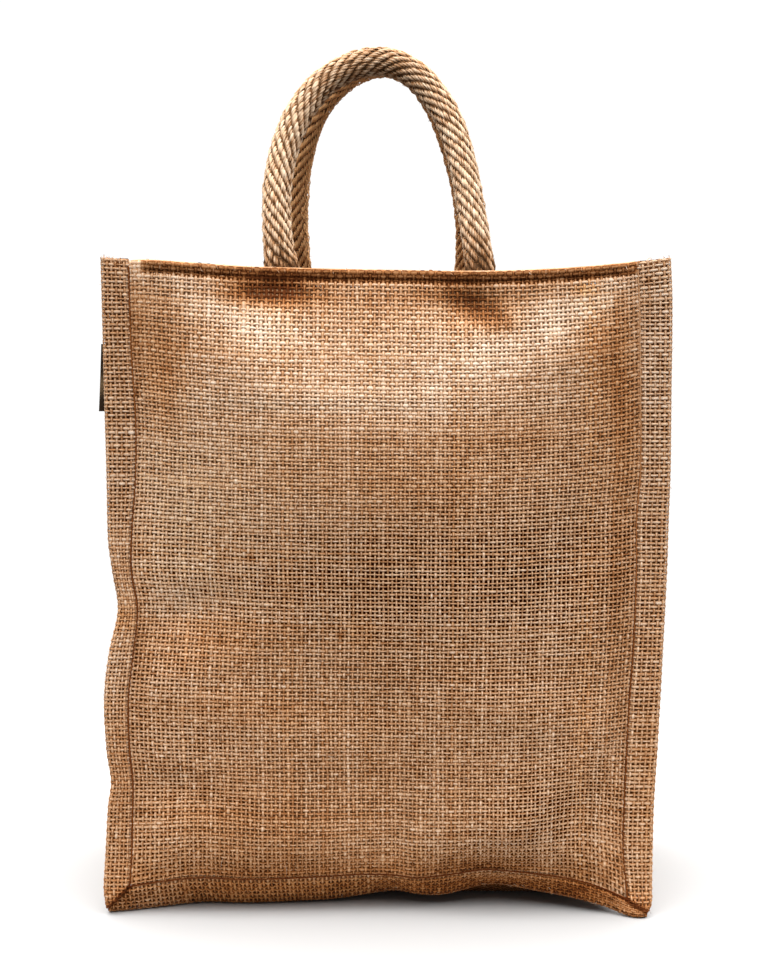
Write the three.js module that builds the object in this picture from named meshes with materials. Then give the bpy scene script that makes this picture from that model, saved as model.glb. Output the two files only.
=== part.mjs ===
// Jute tote bag, standing open on a floor. Millimetres, +Z up, the front faces -Y.
// Two panels and one long gusset strip are sewn with their edges turned outwards,
// and folded bindings wrap those edges. Two padded handles are sewn inside the hems.
import * as THREE from "three";

// Sizes of the cloth
const CLOTH = 1.2;
const BINDING_CLOTH = 1.0;
const LAYER_GAP = 0.3;
const TAPE = 1.2;

// Sizes of the bag
const FRONT_SEAM = -70;
const BACK_SEAM = 70;
const BODY_HEIGHT = 358;
const HEM_DEPTH = 20;
const HEM_EXTRA = 1.8;
const HEM_SIDE_CLEAR = 0.03;
const SEAM_LEAN = 4;
const SEAM_WAVE = 1.2;
const SEAM_WAVE_LENGTH = 280;
const FLANGE_SHARE = 0.66;
const TUCK = 13;
const TUCK_POWER = 1.5;

// Layers in a sewn edge, measured along Y from the middle of the seam
const FLANGE_MIDDLE = LAYER_GAP / 2 + CLOTH / 2;
const LEAF_INSIDE = LAYER_GAP / 2 + CLOTH + LAYER_GAP;
const LEAF_OUTSIDE = LEAF_INSIDE + BINDING_CLOTH;

// How finely the cloth is divided
const PANEL_COLUMNS = 22;
const PANEL_ROWS = 28;
const ROW_CROWDING = 1.3;
const WALL_COLUMNS = 8;
const HANDLE_SIDES = 12;
const HANDLE_STEPS = 56;

// The left and right sewn edges by height: the seam line and the binding's outer edge
const FRONT_LEFT = [
  { z: 0, seam: -142.0, edge: -155.5 },
  { z: 16, seam: -141.4, edge: -155.2 },
  { z: 36, seam: -140.0, edge: -153.7 },
  { z: 62, seam: -139.0, edge: -151.8 },
  { z: 75, seam: -138.7, edge: -150.0 },
  { z: 92, seam: -140.2, edge: -152.1 },
  { z: 120, seam: -140.5, edge: -153.1 },
  { z: 146, seam: -137.6, edge: -150.2 },
  { z: 170, seam: -135.1, edge: -145.0 },
  { z: 190, seam: -138.0, edge: -147.6 },
  { z: 207, seam: -137.9, edge: -149.7 },
  { z: 240, seam: -135.2, edge: -150.0 },
  { z: 270, seam: -134.4, edge: -150.3 },
  { z: 310, seam: -136.2, edge: -150.6 },
  { z: 358, seam: -137.0, edge: -151.0 },
];
const FRONT_RIGHT = [
  { z: 0, seam: 131.5, edge: 144.6 },
  { z: 9, seam: 132.1, edge: 145.0 },
  { z: 36, seam: 129.5, edge: 144.9 },
  { z: 64, seam: 129.6, edge: 145.2 },
  { z: 90, seam: 130.4, edge: 146.5 },
  { z: 120, seam: 131.6, edge: 147.8 },
  { z: 150, seam: 133.5, edge: 149.0 },
  { z: 190, seam: 134.6, edge: 150.5 },
  { z: 220, seam: 134.4, edge: 151.0 },
  { z: 245, seam: 136.0, edge: 151.5 },
  { z: 285, seam: 135.4, edge: 151.2 },
  { z: 336, seam: 134.0, edge: 150.8 },
  { z: 358, seam: 132.8, edge: 149.6 },
];
const BACK_LEFT = [
  { z: 0, seam: -140.5, edge: -154.0 },
  { z: 60, seam: -139.5, edge: -153.0 },
  { z: 130, seam: -136.5, edge: -150.5 },
  { z: 200, seam: -138.0, edge: -151.5 },
  { z: 280, seam: -136.0, edge: -150.5 },
  { z: 358, seam: -136.5, edge: -150.5 },
];
const BACK_RIGHT = [
  { z: 0, seam: 132.5, edge: 146.0 },
  { z: 60, seam: 131.5, edge: 146.0 },
  { z: 130, seam: 134.0, edge: 149.0 },
  { z: 200, seam: 133.0, edge: 148.5 },
  { z: 280, seam: 136.0, edge: 151.0 },
  { z: 358, seam: 134.0, edge: 150.0 },
];

// The bottom sewn edge by place along the bag: the seam line and the binding's lower edge
const FRONT_BOTTOM = [
  { x: -155, seam: 15.0, edge: 0.0 },
  { x: -141, seam: 16.2, edge: 1.4 },
  { x: -124, seam: 19.0, edge: 3.7 },
  { x: -103, seam: 21.3, edge: 6.3 },
  { x: -79, seam: 20.4, edge: 6.0 },
  { x: -54, seam: 20.9, edge: 6.9 },
  { x: -31, seam: 21.9, edge: 8.0 },
  { x: -12, seam: 22.8, edge: 10.8 },
  { x: 4, seam: 22.2, edge: 13.2 },
  { x: 16, seam: 20.5, edge: 11.0 },
  { x: 31, seam: 21.9, edge: 10.2 },
  { x: 53, seam: 25.1, edge: 15.8 },
  { x: 64, seam: 24.6, edge: 16.2 },
  { x: 80, seam: 23.0, edge: 13.0 },
  { x: 102, seam: 19.7, edge: 8.5 },
  { x: 118, seam: 14.9, edge: 4.2 },
  { x: 132, seam: 9.1, edge: 0.4 },
  { x: 145, seam: 6.0, edge: 0.0 },
];
const BACK_BOTTOM = [
  { x: -155, seam: 14.0, edge: 0.0 },
  { x: -110, seam: 17.0, edge: 3.0 },
  { x: -50, seam: 21.0, edge: 7.5 },
  { x: 20, seam: 22.5, edge: 9.0 },
  { x: 80, seam: 20.0, edge: 6.5 },
  { x: 120, seam: 16.0, edge: 2.5 },
  { x: 145, seam: 13.5, edge: 0.0 },
];

// Where each front or back seam turns its corner, and where the binding's tip touches the floor
const FRONT_CORNERS = {
  left: { seamX: -141.4, seamZ: 16.2, tipX: -154.0 },
  right: { seamX: 132.1, seamZ: 9.1, tipX: 142.5 },
};
const BACK_CORNERS = {
  left: { seamX: -140.3, seamZ: 14.6, tipX: -153.0 },
  right: { seamX: 132.4, seamZ: 14.6, tipX: 144.5 },
};

// The top edge by place along the bag: it sags between its stiff corners
const FRONT_TOP = [
  { x: -137, z: 357.2 },
  { x: -128, z: 357.4 },
  { x: -105, z: 355.9 },
  { x: -75, z: 353.9 },
  { x: -46, z: 352.9 },
  { x: 7, z: 351.9 },
  { x: 50, z: 351.3 },
  { x: 92, z: 352.9 },
  { x: 123, z: 355.4 },
  { x: 134, z: 357.0 },
];
const BACK_TOP = [
  { x: -137, z: 356.0 },
  { x: -120, z: 353.8 },
  { x: -70, z: 350.2 },
  { x: 0, z: 348.4 },
  { x: 70, z: 348.2 },
  { x: 118, z: 351.4 },
  { x: 134, z: 354.6 },
];

// How far each panel swells out of its seams, by height, at five places across it
const PLACES_ACROSS = [0.1, 0.3, 0.5, 0.7, 0.9];
const FRONT_SWELL = [
  { z: 10, left: 6, leftMiddle: 7, middle: 6, rightMiddle: 8, right: 6 },
  { z: 45, left: 7, leftMiddle: 9, middle: 8, rightMiddle: 11, right: 7 },
  { z: 95, left: 7, leftMiddle: 9, middle: 9, rightMiddle: 12, right: 8 },
  { z: 145, left: 5, leftMiddle: 10, middle: 11, rightMiddle: 12, right: 8 },
  { z: 195, left: 4, leftMiddle: 11, middle: 13, rightMiddle: 13, right: 9 },
  { z: 240, left: 7, leftMiddle: 13, middle: 15, rightMiddle: 14, right: 10 },
  { z: 280, left: 8, leftMiddle: 12, middle: 13, rightMiddle: 12, right: 9 },
  { z: 318, left: 5, leftMiddle: 4, middle: 4, rightMiddle: 4, right: 5 },
  { z: 345, left: 2, leftMiddle: -3, middle: -3, rightMiddle: -4, right: 2 },
  { z: 358, left: 1, leftMiddle: -6, middle: -6, rightMiddle: -7, right: 0 },
];
const BACK_SWELL = [
  { z: 10, left: 5, leftMiddle: 7, middle: 7, rightMiddle: 6, right: 5 },
  { z: 90, left: 6, leftMiddle: 9, middle: 10, rightMiddle: 9, right: 6 },
  { z: 180, left: 6, leftMiddle: 11, middle: 12, rightMiddle: 10, right: 7 },
  { z: 260, left: 7, leftMiddle: 12, middle: 13, rightMiddle: 12, right: 8 },
  { z: 318, left: 5, leftMiddle: 5, middle: 4, rightMiddle: 5, right: 5 },
  { z: 358, left: 1, leftMiddle: -6, middle: -7, rightMiddle: -6, right: 1 },
];

// Soft ridges and troughs: the middle, half length and half width, height outwards, turn in degrees
const FRONT_FOLDS = [
  { x: -20, z: 279, long: 95, wide: 6, out: -1.4, turn: -1 },
  { x: -58, z: 344, long: 14, wide: 10, out: -3.0, turn: 0 },
  { x: 47, z: 336, long: 14, wide: 10, out: -3.0, turn: 10 },
  { x: -112, z: 168, long: 34, wide: 15, out: -3.5, turn: 12 },
  { x: -118, z: 72, long: 30, wide: 12, out: -2.5, turn: -8 },
  { x: -90, z: 118, long: 46, wide: 16, out: 2.0, turn: -14 },
  { x: 6, z: 42, long: 26, wide: 12, out: -2.4, turn: 80 },
  { x: 60, z: 46, long: 30, wide: 16, out: 2.0, turn: 65 },
  { x: 96, z: 78, long: 60, wide: 14, out: 1.8, turn: 52 },
  { x: 104, z: 210, long: 40, wide: 18, out: -2.2, turn: 70 },
];
const BACK_FOLDS = [
  { x: -56, z: 340, long: 14, wide: 10, out: -2.6, turn: 0 },
  { x: 50, z: 340, long: 14, wide: 10, out: -2.6, turn: 0 },
  { x: -60, z: 110, long: 60, wide: 18, out: 2.2, turn: 38 },
  { x: 70, z: 200, long: 60, wide: 18, out: -2.4, turn: -30 },
];

// The gusset between the two seams
const CORNER_ROUND = 7;
const CORNER_ANGLES = [15, 45, 75];
const WALL_START = 3.5;
const SIDE_DIP = 9;
const MOUTH_SAG = 7;
const MOUTH_SAG_FROM = 270;
const BOTTOM_REST = CLOTH / 2;
const BOTTOM_FADE = 34;
const BOTTOM_FLAT_SHARE = 0.24;
const CURL = [
  { out: 2.2, inward: FLANGE_MIDDLE },
  { out: 0.2, inward: 1.3 },
  { out: -0.5, inward: WALL_START },
];

// Handle centre lines: place across the bag and height, then half width and half thickness
const FRONT_HANDLE = [
  { x: -56.0, z: 331, half: 10.2, thick: 2.4 },
  { x: -56.2, z: 350, half: 10.0, thick: 2.8 },
  { x: -58.6, z: 366, half: 8.3, thick: 6.2 },
  { x: -59.8, z: 388, half: 8.0, thick: 7.6 },
  { x: -58.4, z: 406, half: 8.0, thick: 7.8 },
  { x: -53.6, z: 425, half: 8.0, thick: 7.8 },
  { x: -46.0, z: 441, half: 8.0, thick: 7.8 },
  { x: -34.0, z: 455, half: 8.0, thick: 7.8 },
  { x: -19.0, z: 463.6, half: 8.0, thick: 7.8 },
  { x: -3.0, z: 466.2, half: 8.0, thick: 7.8 },
  { x: 11.0, z: 461.8, half: 8.0, thick: 7.8 },
  { x: 23.5, z: 450.5, half: 8.0, thick: 7.8 },
  { x: 33.5, z: 434, half: 7.8, thick: 7.6 },
  { x: 40.2, z: 413, half: 7.7, thick: 7.6 },
  { x: 44.4, z: 391, half: 7.7, thick: 7.4 },
  { x: 48.2, z: 366, half: 7.9, thick: 5.8 },
  { x: 50.0, z: 350, half: 8.4, thick: 2.8 },
  { x: 50.2, z: 331, half: 9.4, thick: 2.4 },
];
const BACK_HANDLE = [
  { x: -54.0, z: 331, half: 9.6, thick: 2.4 },
  { x: -54.0, z: 350, half: 9.2, thick: 2.8 },
  { x: -54.2, z: 368, half: 8.2, thick: 6.2 },
  { x: -54.0, z: 388, half: 8.0, thick: 7.6 },
  { x: -51.0, z: 413, half: 8.0, thick: 7.8 },
  { x: -43.4, z: 437, half: 8.0, thick: 7.8 },
  { x: -32.0, z: 453, half: 8.0, thick: 7.8 },
  { x: -18.0, z: 463.4, half: 8.0, thick: 7.8 },
  { x: -2.0, z: 467.4, half: 8.0, thick: 7.8 },
  { x: 11.0, z: 463.8, half: 8.0, thick: 7.8 },
  { x: 22.5, z: 454, half: 8.0, thick: 7.8 },
  { x: 32.5, z: 437, half: 7.9, thick: 7.7 },
  { x: 40.5, z: 415, half: 7.8, thick: 7.6 },
  { x: 46.2, z: 391, half: 7.8, thick: 7.4 },
  { x: 48.4, z: 368, half: 8.0, thick: 6.0 },
  { x: 48.6, z: 350, half: 8.8, thick: 2.8 },
  { x: 48.6, z: 331, half: 9.4, thick: 2.4 },
];
const HANDLE_TOP_Y = 9.4;
const HANDLE_LEAN_FROM = 352;
const HANDLE_LEAN_TO = 466;
const LEAN_SOFTNESS = 0.2;
const FOOT_GAP = 0.6;
const FOOT_THICK = 2.8;
const FOOT_CORNERS = 2.6;

// The small folded label in the left front seam
const LABEL = { low: 277, high: 313, inner: -141, out: 2.4, slant: 0.8 };

// A smooth curve through a table: column "value" over column "along"
function curve(rows, along, value) {
  const slopes = rows.map((row, index) => {
    const before = rows[Math.max(index - 1, 0)];
    const after = rows[Math.min(index + 1, rows.length - 1)];
    return (after[value] - before[value]) / (after[along] - before[along]);
  });
  return (place) => {
    const first = rows[0];
    const last = rows[rows.length - 1];
    const held = THREE.MathUtils.clamp(place, first[along], last[along]);
    let index = 0;
    while (index < rows.length - 2 && held > rows[index + 1][along]) {
      index += 1;
    }
    const start = rows[index];
    const end = rows[index + 1];
    const span = end[along] - start[along];
    const t = (held - start[along]) / span;
    const bend = t * t * (3 - 2 * t);
    const leave = t * (1 - t) * (1 - t) * span * slopes[index];
    const arrive = t * t * (t - 1) * span * slopes[index + 1];
    return start[value] + (end[value] - start[value]) * bend + leave + arrive;
  };
}

const mix = THREE.MathUtils.lerp;
const eased = THREE.MathUtils.smoothstep;

// Describes one sewn side of the bag. "out" is -1 for the front and +1 for the back.
function sewnSide(out, plane, left, right, bottom, corners, top, swell, folds) {
  const leftSeam = curve(left, "z", "seam");
  const rightSeam = curve(right, "z", "seam");
  const topEdge = curve(top, "x", "z");
  const bottomSeam = curve(bottom, "x", "seam");
  const columns = ["left", "leftMiddle", "middle", "rightMiddle", "right"];
  const swells = columns.map((name) => curve(swell, "z", name));

  const seamPlane = (x, z) => {
    const lean = SEAM_LEAN * (z / BODY_HEIGHT) ** 2;
    const wave = SEAM_WAVE * Math.sin((2 * Math.PI * (z + x)) / SEAM_WAVE_LENGTH);
    return plane - out * lean + wave;
  };

  const foldHeight = (x, z) => {
    let height = 0;
    for (const fold of folds) {
      const turn = THREE.MathUtils.degToRad(fold.turn);
      const along = (x - fold.x) * Math.cos(turn) + (z - fold.z) * Math.sin(turn);
      const across = (z - fold.z) * Math.cos(turn) - (x - fold.x) * Math.sin(turn);
      height += fold.out * Math.exp(-((along / fold.long) ** 2) - (across / fold.wide) ** 2);
    }
    return height;
  };

  // A place on the panel: share 0 to 1 from left to right seam, rise 0 to 1 from bottom seam to top
  const panelPoint = (share, rise) => {
    const leftZ = mix(corners.left.seamZ, topEdge(leftSeam(BODY_HEIGHT)), rise);
    const rightZ = mix(corners.right.seamZ, topEdge(rightSeam(BODY_HEIGHT)), rise);
    const x = mix(leftSeam(leftZ), rightSeam(rightZ), share);
    const z = mix(bottomSeam(x), topEdge(x), rise);
    const width = rightSeam(rightZ) - leftSeam(leftZ);
    const fromSeam = Math.min(share, 1 - share) * width;
    const fromBottom = z - bottomSeam(x);
    const tuckSide = 1 - Math.exp(-((fromSeam / TUCK) ** TUCK_POWER));
    const tuckBottom = 1 - Math.exp(-((fromBottom / TUCK) ** TUCK_POWER));
    const across = PLACES_ACROSS.map((place, index) => ({ place, swell: swells[index](z) }));
    const swelling = curve(across, "place", "swell")(share) + foldHeight(x, z);
    const y = seamPlane(x, z) + out * (FLANGE_MIDDLE + swelling * tuckSide * tuckBottom);
    return new THREE.Vector3(x, y, z);
  };

  return {
    out,
    corners,
    topEdge,
    bottomSeam,
    leftSeam,
    rightSeam,
    seamPlane,
    panelPoint,
    leftEdge: curve(left, "z", "edge"),
    rightEdge: curve(right, "z", "edge"),
    bottomEdge: curve(bottom, "x", "edge"),
  };
}

const front = sewnSide(-1, FRONT_SEAM, FRONT_LEFT, FRONT_RIGHT, FRONT_BOTTOM, FRONT_CORNERS,
  FRONT_TOP, FRONT_SWELL, FRONT_FOLDS);
const back = sewnSide(1, BACK_SEAM, BACK_LEFT, BACK_RIGHT, BACK_BOTTOM, BACK_CORNERS,
  BACK_TOP, BACK_SWELL, BACK_FOLDS);

const shareAt = (column) => 0.5 - 0.5 * Math.cos((Math.PI * column) / PANEL_COLUMNS);
const riseAt = (row) => (row / PANEL_ROWS) ** ROW_CROWDING;

// Joins a closed mesh from points and faces
function closedMesh(points, faces) {
  const geometry = new THREE.BufferGeometry();
  const places = points.flatMap((point) => [point.x, point.y, point.z]);
  geometry.setAttribute("position", new THREE.Float32BufferAttribute(places, 3));
  geometry.setIndex(faces.flat());
  return geometry;
}

// Turns a grid of places in the middle of a cloth into a closed sheet.
// "thickness" gives how far the cloth reaches in front of and behind each place.
function sheet(grid, thickness) {
  const rows = grid.length;
  const columns = grid[0].length;
  const points = [];
  const lower = rows * columns;
  const normals = grid.map((line, row) => line.map((_, column) => {
    const alongRow = new THREE.Vector3().subVectors(
      line[Math.min(column + 1, columns - 1)], line[Math.max(column - 1, 0)]);
    const alongColumn = new THREE.Vector3().subVectors(
      grid[Math.min(row + 1, rows - 1)][column], grid[Math.max(row - 1, 0)][column]);
    return alongRow.cross(alongColumn).normalize();
  }));
  for (const side of [1, -1]) {
    grid.forEach((line, row) => line.forEach((place, column) => {
      const reach = thickness(row, column, side);
      points.push(place.clone().addScaledVector(normals[row][column], side * reach));
    }));
  }
  const faces = [];
  const at = (row, column) => row * columns + column;
  const quad = (a, b, c, d) => faces.push([a, b, c], [a, c, d]);
  for (let row = 0; row < rows - 1; row += 1) {
    for (let column = 0; column < columns - 1; column += 1) {
      const a = at(row, column);
      const b = at(row, column + 1);
      const c = at(row + 1, column + 1);
      const d = at(row + 1, column);
      quad(a, b, c, d);
      quad(lower + a, lower + d, lower + c, lower + b);
    }
  }
  const rim = [];
  for (let column = 0; column < columns - 1; column += 1) {
    rim.push(at(0, column));
  }
  for (let row = 0; row < rows - 1; row += 1) {
    rim.push(at(row, columns - 1));
  }
  for (let column = columns - 1; column > 0; column -= 1) {
    rim.push(at(rows - 1, column));
  }
  for (let row = rows - 1; row > 0; row -= 1) {
    rim.push(at(row, 0));
  }
  rim.forEach((here, index) => {
    const next = rim[(index + 1) % rim.length];
    quad(here, lower + here, lower + next, next);
  });
  return closedMesh(points, faces);
}

// A panel: its face, and the flat edges that go into the bindings on three sides
function panelGeometry(side) {
  const grid = [];
  for (let row = 0; row <= PANEL_ROWS; row += 1) {
    const line = [];
    for (let column = 0; column <= PANEL_COLUMNS; column += 1) {
      line.push(side.panelPoint(shareAt(column), riseAt(row)));
    }
    grid.push(line);
  }
  const flat = (x, z) => new THREE.Vector3(x, side.seamPlane(x, z) + side.out * FLANGE_MIDDLE, z);
  for (const line of grid) {
    const first = line[0];
    const last = line[line.length - 1];
    line.unshift(flat(mix(first.x, side.leftEdge(first.z), FLANGE_SHARE), first.z));
    line.push(flat(mix(last.x, side.rightEdge(last.z), FLANGE_SHARE), last.z));
  }
  const foot = grid[0].map((place) => {
    const edge = side.bottomEdge(place.x);
    return flat(place.x, mix(side.bottomSeam(place.x), edge, FLANGE_SHARE));
  });
  grid.unshift(foot);
  if (side.out > 0) {
    grid.forEach((line) => line.reverse());
  }
  const top = grid[grid.length - 1];
  return sheet(grid, (row, column, face) => {
    const place = grid[row][column];
    const share = (place.x - top[1].x) / (top[top.length - 2].x - top[1].x);
    const inHem = place.z > top[column].z - HEM_DEPTH;
    const clearOfSides = Math.min(share, 1 - share) > HEM_SIDE_CLEAR;
    const hem = face < 0 && inHem && clearOfSides ? HEM_EXTRA : 0;
    return CLOTH / 2 + hem;
  });
}

// The path of one seam, down the left side, under the bag and up the right side.
// Each step holds its place, the direction out of the bag and the distance to the binding's edge.
function seamPath(side) {
  const path = [];
  const { left, right } = side.corners;
  const rowsZ = (corner) => {
    const heights = [];
    for (let row = 0; row <= PANEL_ROWS; row += 1) {
      const z = mix(corner.seamZ, BODY_HEIGHT - 1, riseAt(row));
      if (z > corner.seamZ + CORNER_ROUND + 2) {
        heights.push(z);
      }
    }
    return heights;
  };
  const turnCorner = (corner, way, angles) => {
    const middleX = corner.seamX - way * CORNER_ROUND;
    const middleZ = corner.seamZ + CORNER_ROUND;
    for (const degrees of angles) {
      const angle = THREE.MathUtils.degToRad(degrees);
      const out = new THREE.Vector2(way * Math.cos(angle), -Math.sin(angle));
      const x = middleX + CORNER_ROUND * out.x;
      const seamRise = (side.bottomSeam(x) - corner.seamZ) * Math.sin(angle);
      path.push({
        x,
        z: middleZ + CORNER_ROUND * out.y + seamRise,
        out,
        reach: Math.abs(corner.tipX - corner.seamX),
      });
    }
  };
  for (const z of rowsZ(left).reverse()) {
    const x = side.leftSeam(z);
    path.push({ x, z, out: new THREE.Vector2(-1, 0), reach: x - side.leftEdge(z) });
  }
  turnCorner(left, -1, CORNER_ANGLES);
  for (let column = 1; column < PANEL_COLUMNS; column += 1) {
    const x = mix(left.seamX, right.seamX, shareAt(column));
    if (x > left.seamX + CORNER_ROUND + 2 && x < right.seamX - CORNER_ROUND - 2) {
      const z = side.bottomSeam(x);
      path.push({ x, z, out: new THREE.Vector2(0, -1), reach: z - side.bottomEdge(x) });
    }
  }
  turnCorner(right, 1, [...CORNER_ANGLES].reverse());
  for (const z of rowsZ(right)) {
    const x = side.rightSeam(z);
    path.push({ x, z, out: new THREE.Vector2(1, 0), reach: side.rightEdge(z) - x });
  }
  return path;
}

// The gusset: flat edge, curl, wall, curl and flat edge again, from the front seam to the back seam
function gussetGeometry() {
  const frontPath = seamPath(front);
  const backPath = seamPath(back);
  const leftCornerX = FRONT_CORNERS.left.seamX;
  const rightCornerX = FRONT_CORNERS.right.seamX;
  const grid = frontPath.map((frontStep, index) => {
    const backStep = backPath[index];
    const line = [];
    const edgePlace = (side, step, out, inward) => {
      const x = step.x + step.out.x * out;
      const z = step.z + step.out.y * out;
      line.push(new THREE.Vector3(x, side.seamPlane(x, z) - side.out * inward, z));
    };
    edgePlace(front, frontStep, frontStep.reach * FLANGE_SHARE, FLANGE_MIDDLE);
    CURL.forEach((curl) => edgePlace(front, frontStep, curl.out, curl.inward));
    const start = line[line.length - 1];
    const endX = backStep.x - backStep.out.x * 0.5;
    const endZ = backStep.z - backStep.out.y * 0.5;
    const end = new THREE.Vector3(endX, back.seamPlane(endX, endZ) - WALL_START, endZ);
    for (let step = 1; step < WALL_COLUMNS; step += 1) {
      const share = step / WALL_COLUMNS;
      const place = new THREE.Vector3().lerpVectors(start, end, share);
      const arch = Math.min(1, Math.sin(Math.PI * share) / Math.sin(Math.PI * BOTTOM_FLAT_SHARE));
      const onSide = Math.abs(frontStep.out.x);
      const fromCorner = Math.min(place.x - leftCornerX, rightCornerX - place.x);
      const sag = eased(fromCorner, 0, BOTTOM_FADE) * arch * (1 - onSide);
      place.x -= frontStep.out.x * SIDE_DIP * Math.sin(Math.PI * share) * onSide;
      const nearMouth = eased(place.z, MOUTH_SAG_FROM, BODY_HEIGHT);
      place.z = mix(place.z, BOTTOM_REST, sag);
      place.z -= MOUTH_SAG * nearMouth * Math.sin(Math.PI * share);
      line.push(place);
    }
    [...CURL].reverse().forEach((curl) => edgePlace(back, backStep, curl.out, curl.inward));
    edgePlace(back, backStep, backStep.reach * FLANGE_SHARE, FLANGE_MIDDLE);
    return line;
  });
  const tops = [grid[0], grid[grid.length - 1]];
  const lastWall = CURL.length + WALL_COLUMNS;
  return sheet(grid, (row, column, face) => {
    const depth = Math.min(...tops.map((line) => line[column].distanceTo(grid[row][column])));
    const onWall = column > CURL.length && column < lastWall;
    const hem = face < 0 && onWall && depth < HEM_DEPTH ? HEM_EXTRA : 0;
    return CLOTH / 2 + hem;
  });
}

// One folded binding. Each step gives its inner edge on the seam line and its outer folded edge.
const LEAF_START = 0.8;
const BACK_LEAF_START = 3.2;
const SLOT_END = 0.86;
const FOLD_START = 0.9;
const FOLD_ROUND = 0.45;
function bindingGeometry(side, steps) {
  const sectionAt = (width) => [
    { along: LEAF_START / width, out: LEAF_INSIDE },
    { along: LEAF_START / width, out: LEAF_OUTSIDE },
    { along: FOLD_START, out: LEAF_OUTSIDE },
    { along: 1, out: LEAF_OUTSIDE * FOLD_ROUND },
    { along: 1, out: -LEAF_OUTSIDE * FOLD_ROUND },
    { along: FOLD_START, out: -LEAF_OUTSIDE },
    { along: BACK_LEAF_START / width, out: -LEAF_OUTSIDE },
    { along: BACK_LEAF_START / width, out: -LEAF_INSIDE },
    { along: SLOT_END, out: -LEAF_INSIDE },
    { along: SLOT_END, out: LEAF_INSIDE },
  ];
  const points = [];
  for (const { seam, edge } of steps) {
    for (const corner of sectionAt(seam.distanceTo(edge))) {
      const x = mix(seam.x, edge.x, corner.along);
      const z = mix(seam.y, edge.y, corner.along);
      points.push(new THREE.Vector3(x, side.seamPlane(x, z) + side.out * corner.out, z));
    }
  }
  const section = sectionAt(steps[0].seam.distanceTo(steps[0].edge));
  const count = section.length;
  const faces = [];
  for (let step = 0; step < steps.length - 1; step += 1) {
    for (let corner = 0; corner < count; corner += 1) {
      const next = (corner + 1) % count;
      const a = step * count + corner;
      const b = step * count + next;
      faces.push([a, b, b + count], [a, b + count, a + count]);
    }
  }
  const outline = section.map((corner) => new THREE.Vector2(corner.along, corner.out));
  const clockwise = THREE.ShapeUtils.isClockWise(outline);
  const lastRing = (steps.length - 1) * count;
  for (const [a, b, c] of THREE.ShapeUtils.triangulateShape(outline, [])) {
    const ordered = clockwise ? [a, b, c] : [c, b, a];
    faces.push(ordered);
    faces.push(ordered.map((index) => lastRing + index).reverse());
  }
  const geometry = closedMesh(points, faces);
  return outwards(geometry);
}

// Makes every face of a closed mesh look outwards
function outwards(geometry) {
  const place = geometry.getAttribute("position");
  const index = geometry.getIndex();
  const corner = [new THREE.Vector3(), new THREE.Vector3(), new THREE.Vector3()];
  let volume = 0;
  for (let face = 0; face < index.count; face += 3) {
    corner.forEach((point, number) => point.fromBufferAttribute(place, index.getX(face + number)));
    volume += corner[0].dot(corner[1].clone().cross(corner[2]));
  }
  if (volume < 0) {
    for (let face = 0; face < index.count; face += 3) {
      const second = index.getX(face + 1);
      index.setX(face + 1, index.getX(face + 2));
      index.setX(face + 2, second);
    }
  }
  return geometry;
}

const MITRE_GAP = 0.4;
function sideBinding(side, corner, seamAt, edgeAt) {
  const steps = [];
  for (let row = 0; row <= PANEL_ROWS; row += 1) {
    const seamZ = mix(corner.seamZ + MITRE_GAP, BODY_HEIGHT, riseAt(row));
    const edgeZ = mix(MITRE_GAP, BODY_HEIGHT, riseAt(row));
    const tip = 1 - eased(edgeZ, 0, corner.seamZ);
    const edgeX = mix(edgeAt(edgeZ), corner.tipX, tip);
    steps.push({
      seam: new THREE.Vector2(seamAt(seamZ), seamZ),
      edge: new THREE.Vector2(edgeX, edgeZ),
    });
  }
  return bindingGeometry(side, steps);
}
function bottomBinding(side) {
  const { left, right } = side.corners;
  const steps = [];
  for (let column = 0; column <= PANEL_COLUMNS; column += 1) {
    const share = shareAt(column);
    const seamX = mix(left.seamX + MITRE_GAP, right.seamX - MITRE_GAP, share);
    const edgeX = mix(left.tipX + MITRE_GAP, right.tipX - MITRE_GAP, share);
    steps.push({
      seam: new THREE.Vector2(seamX, side.bottomSeam(seamX)),
      edge: new THREE.Vector2(edgeX, side.bottomEdge(edgeX)),
    });
  }
  return bindingGeometry(side, steps);
}

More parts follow.
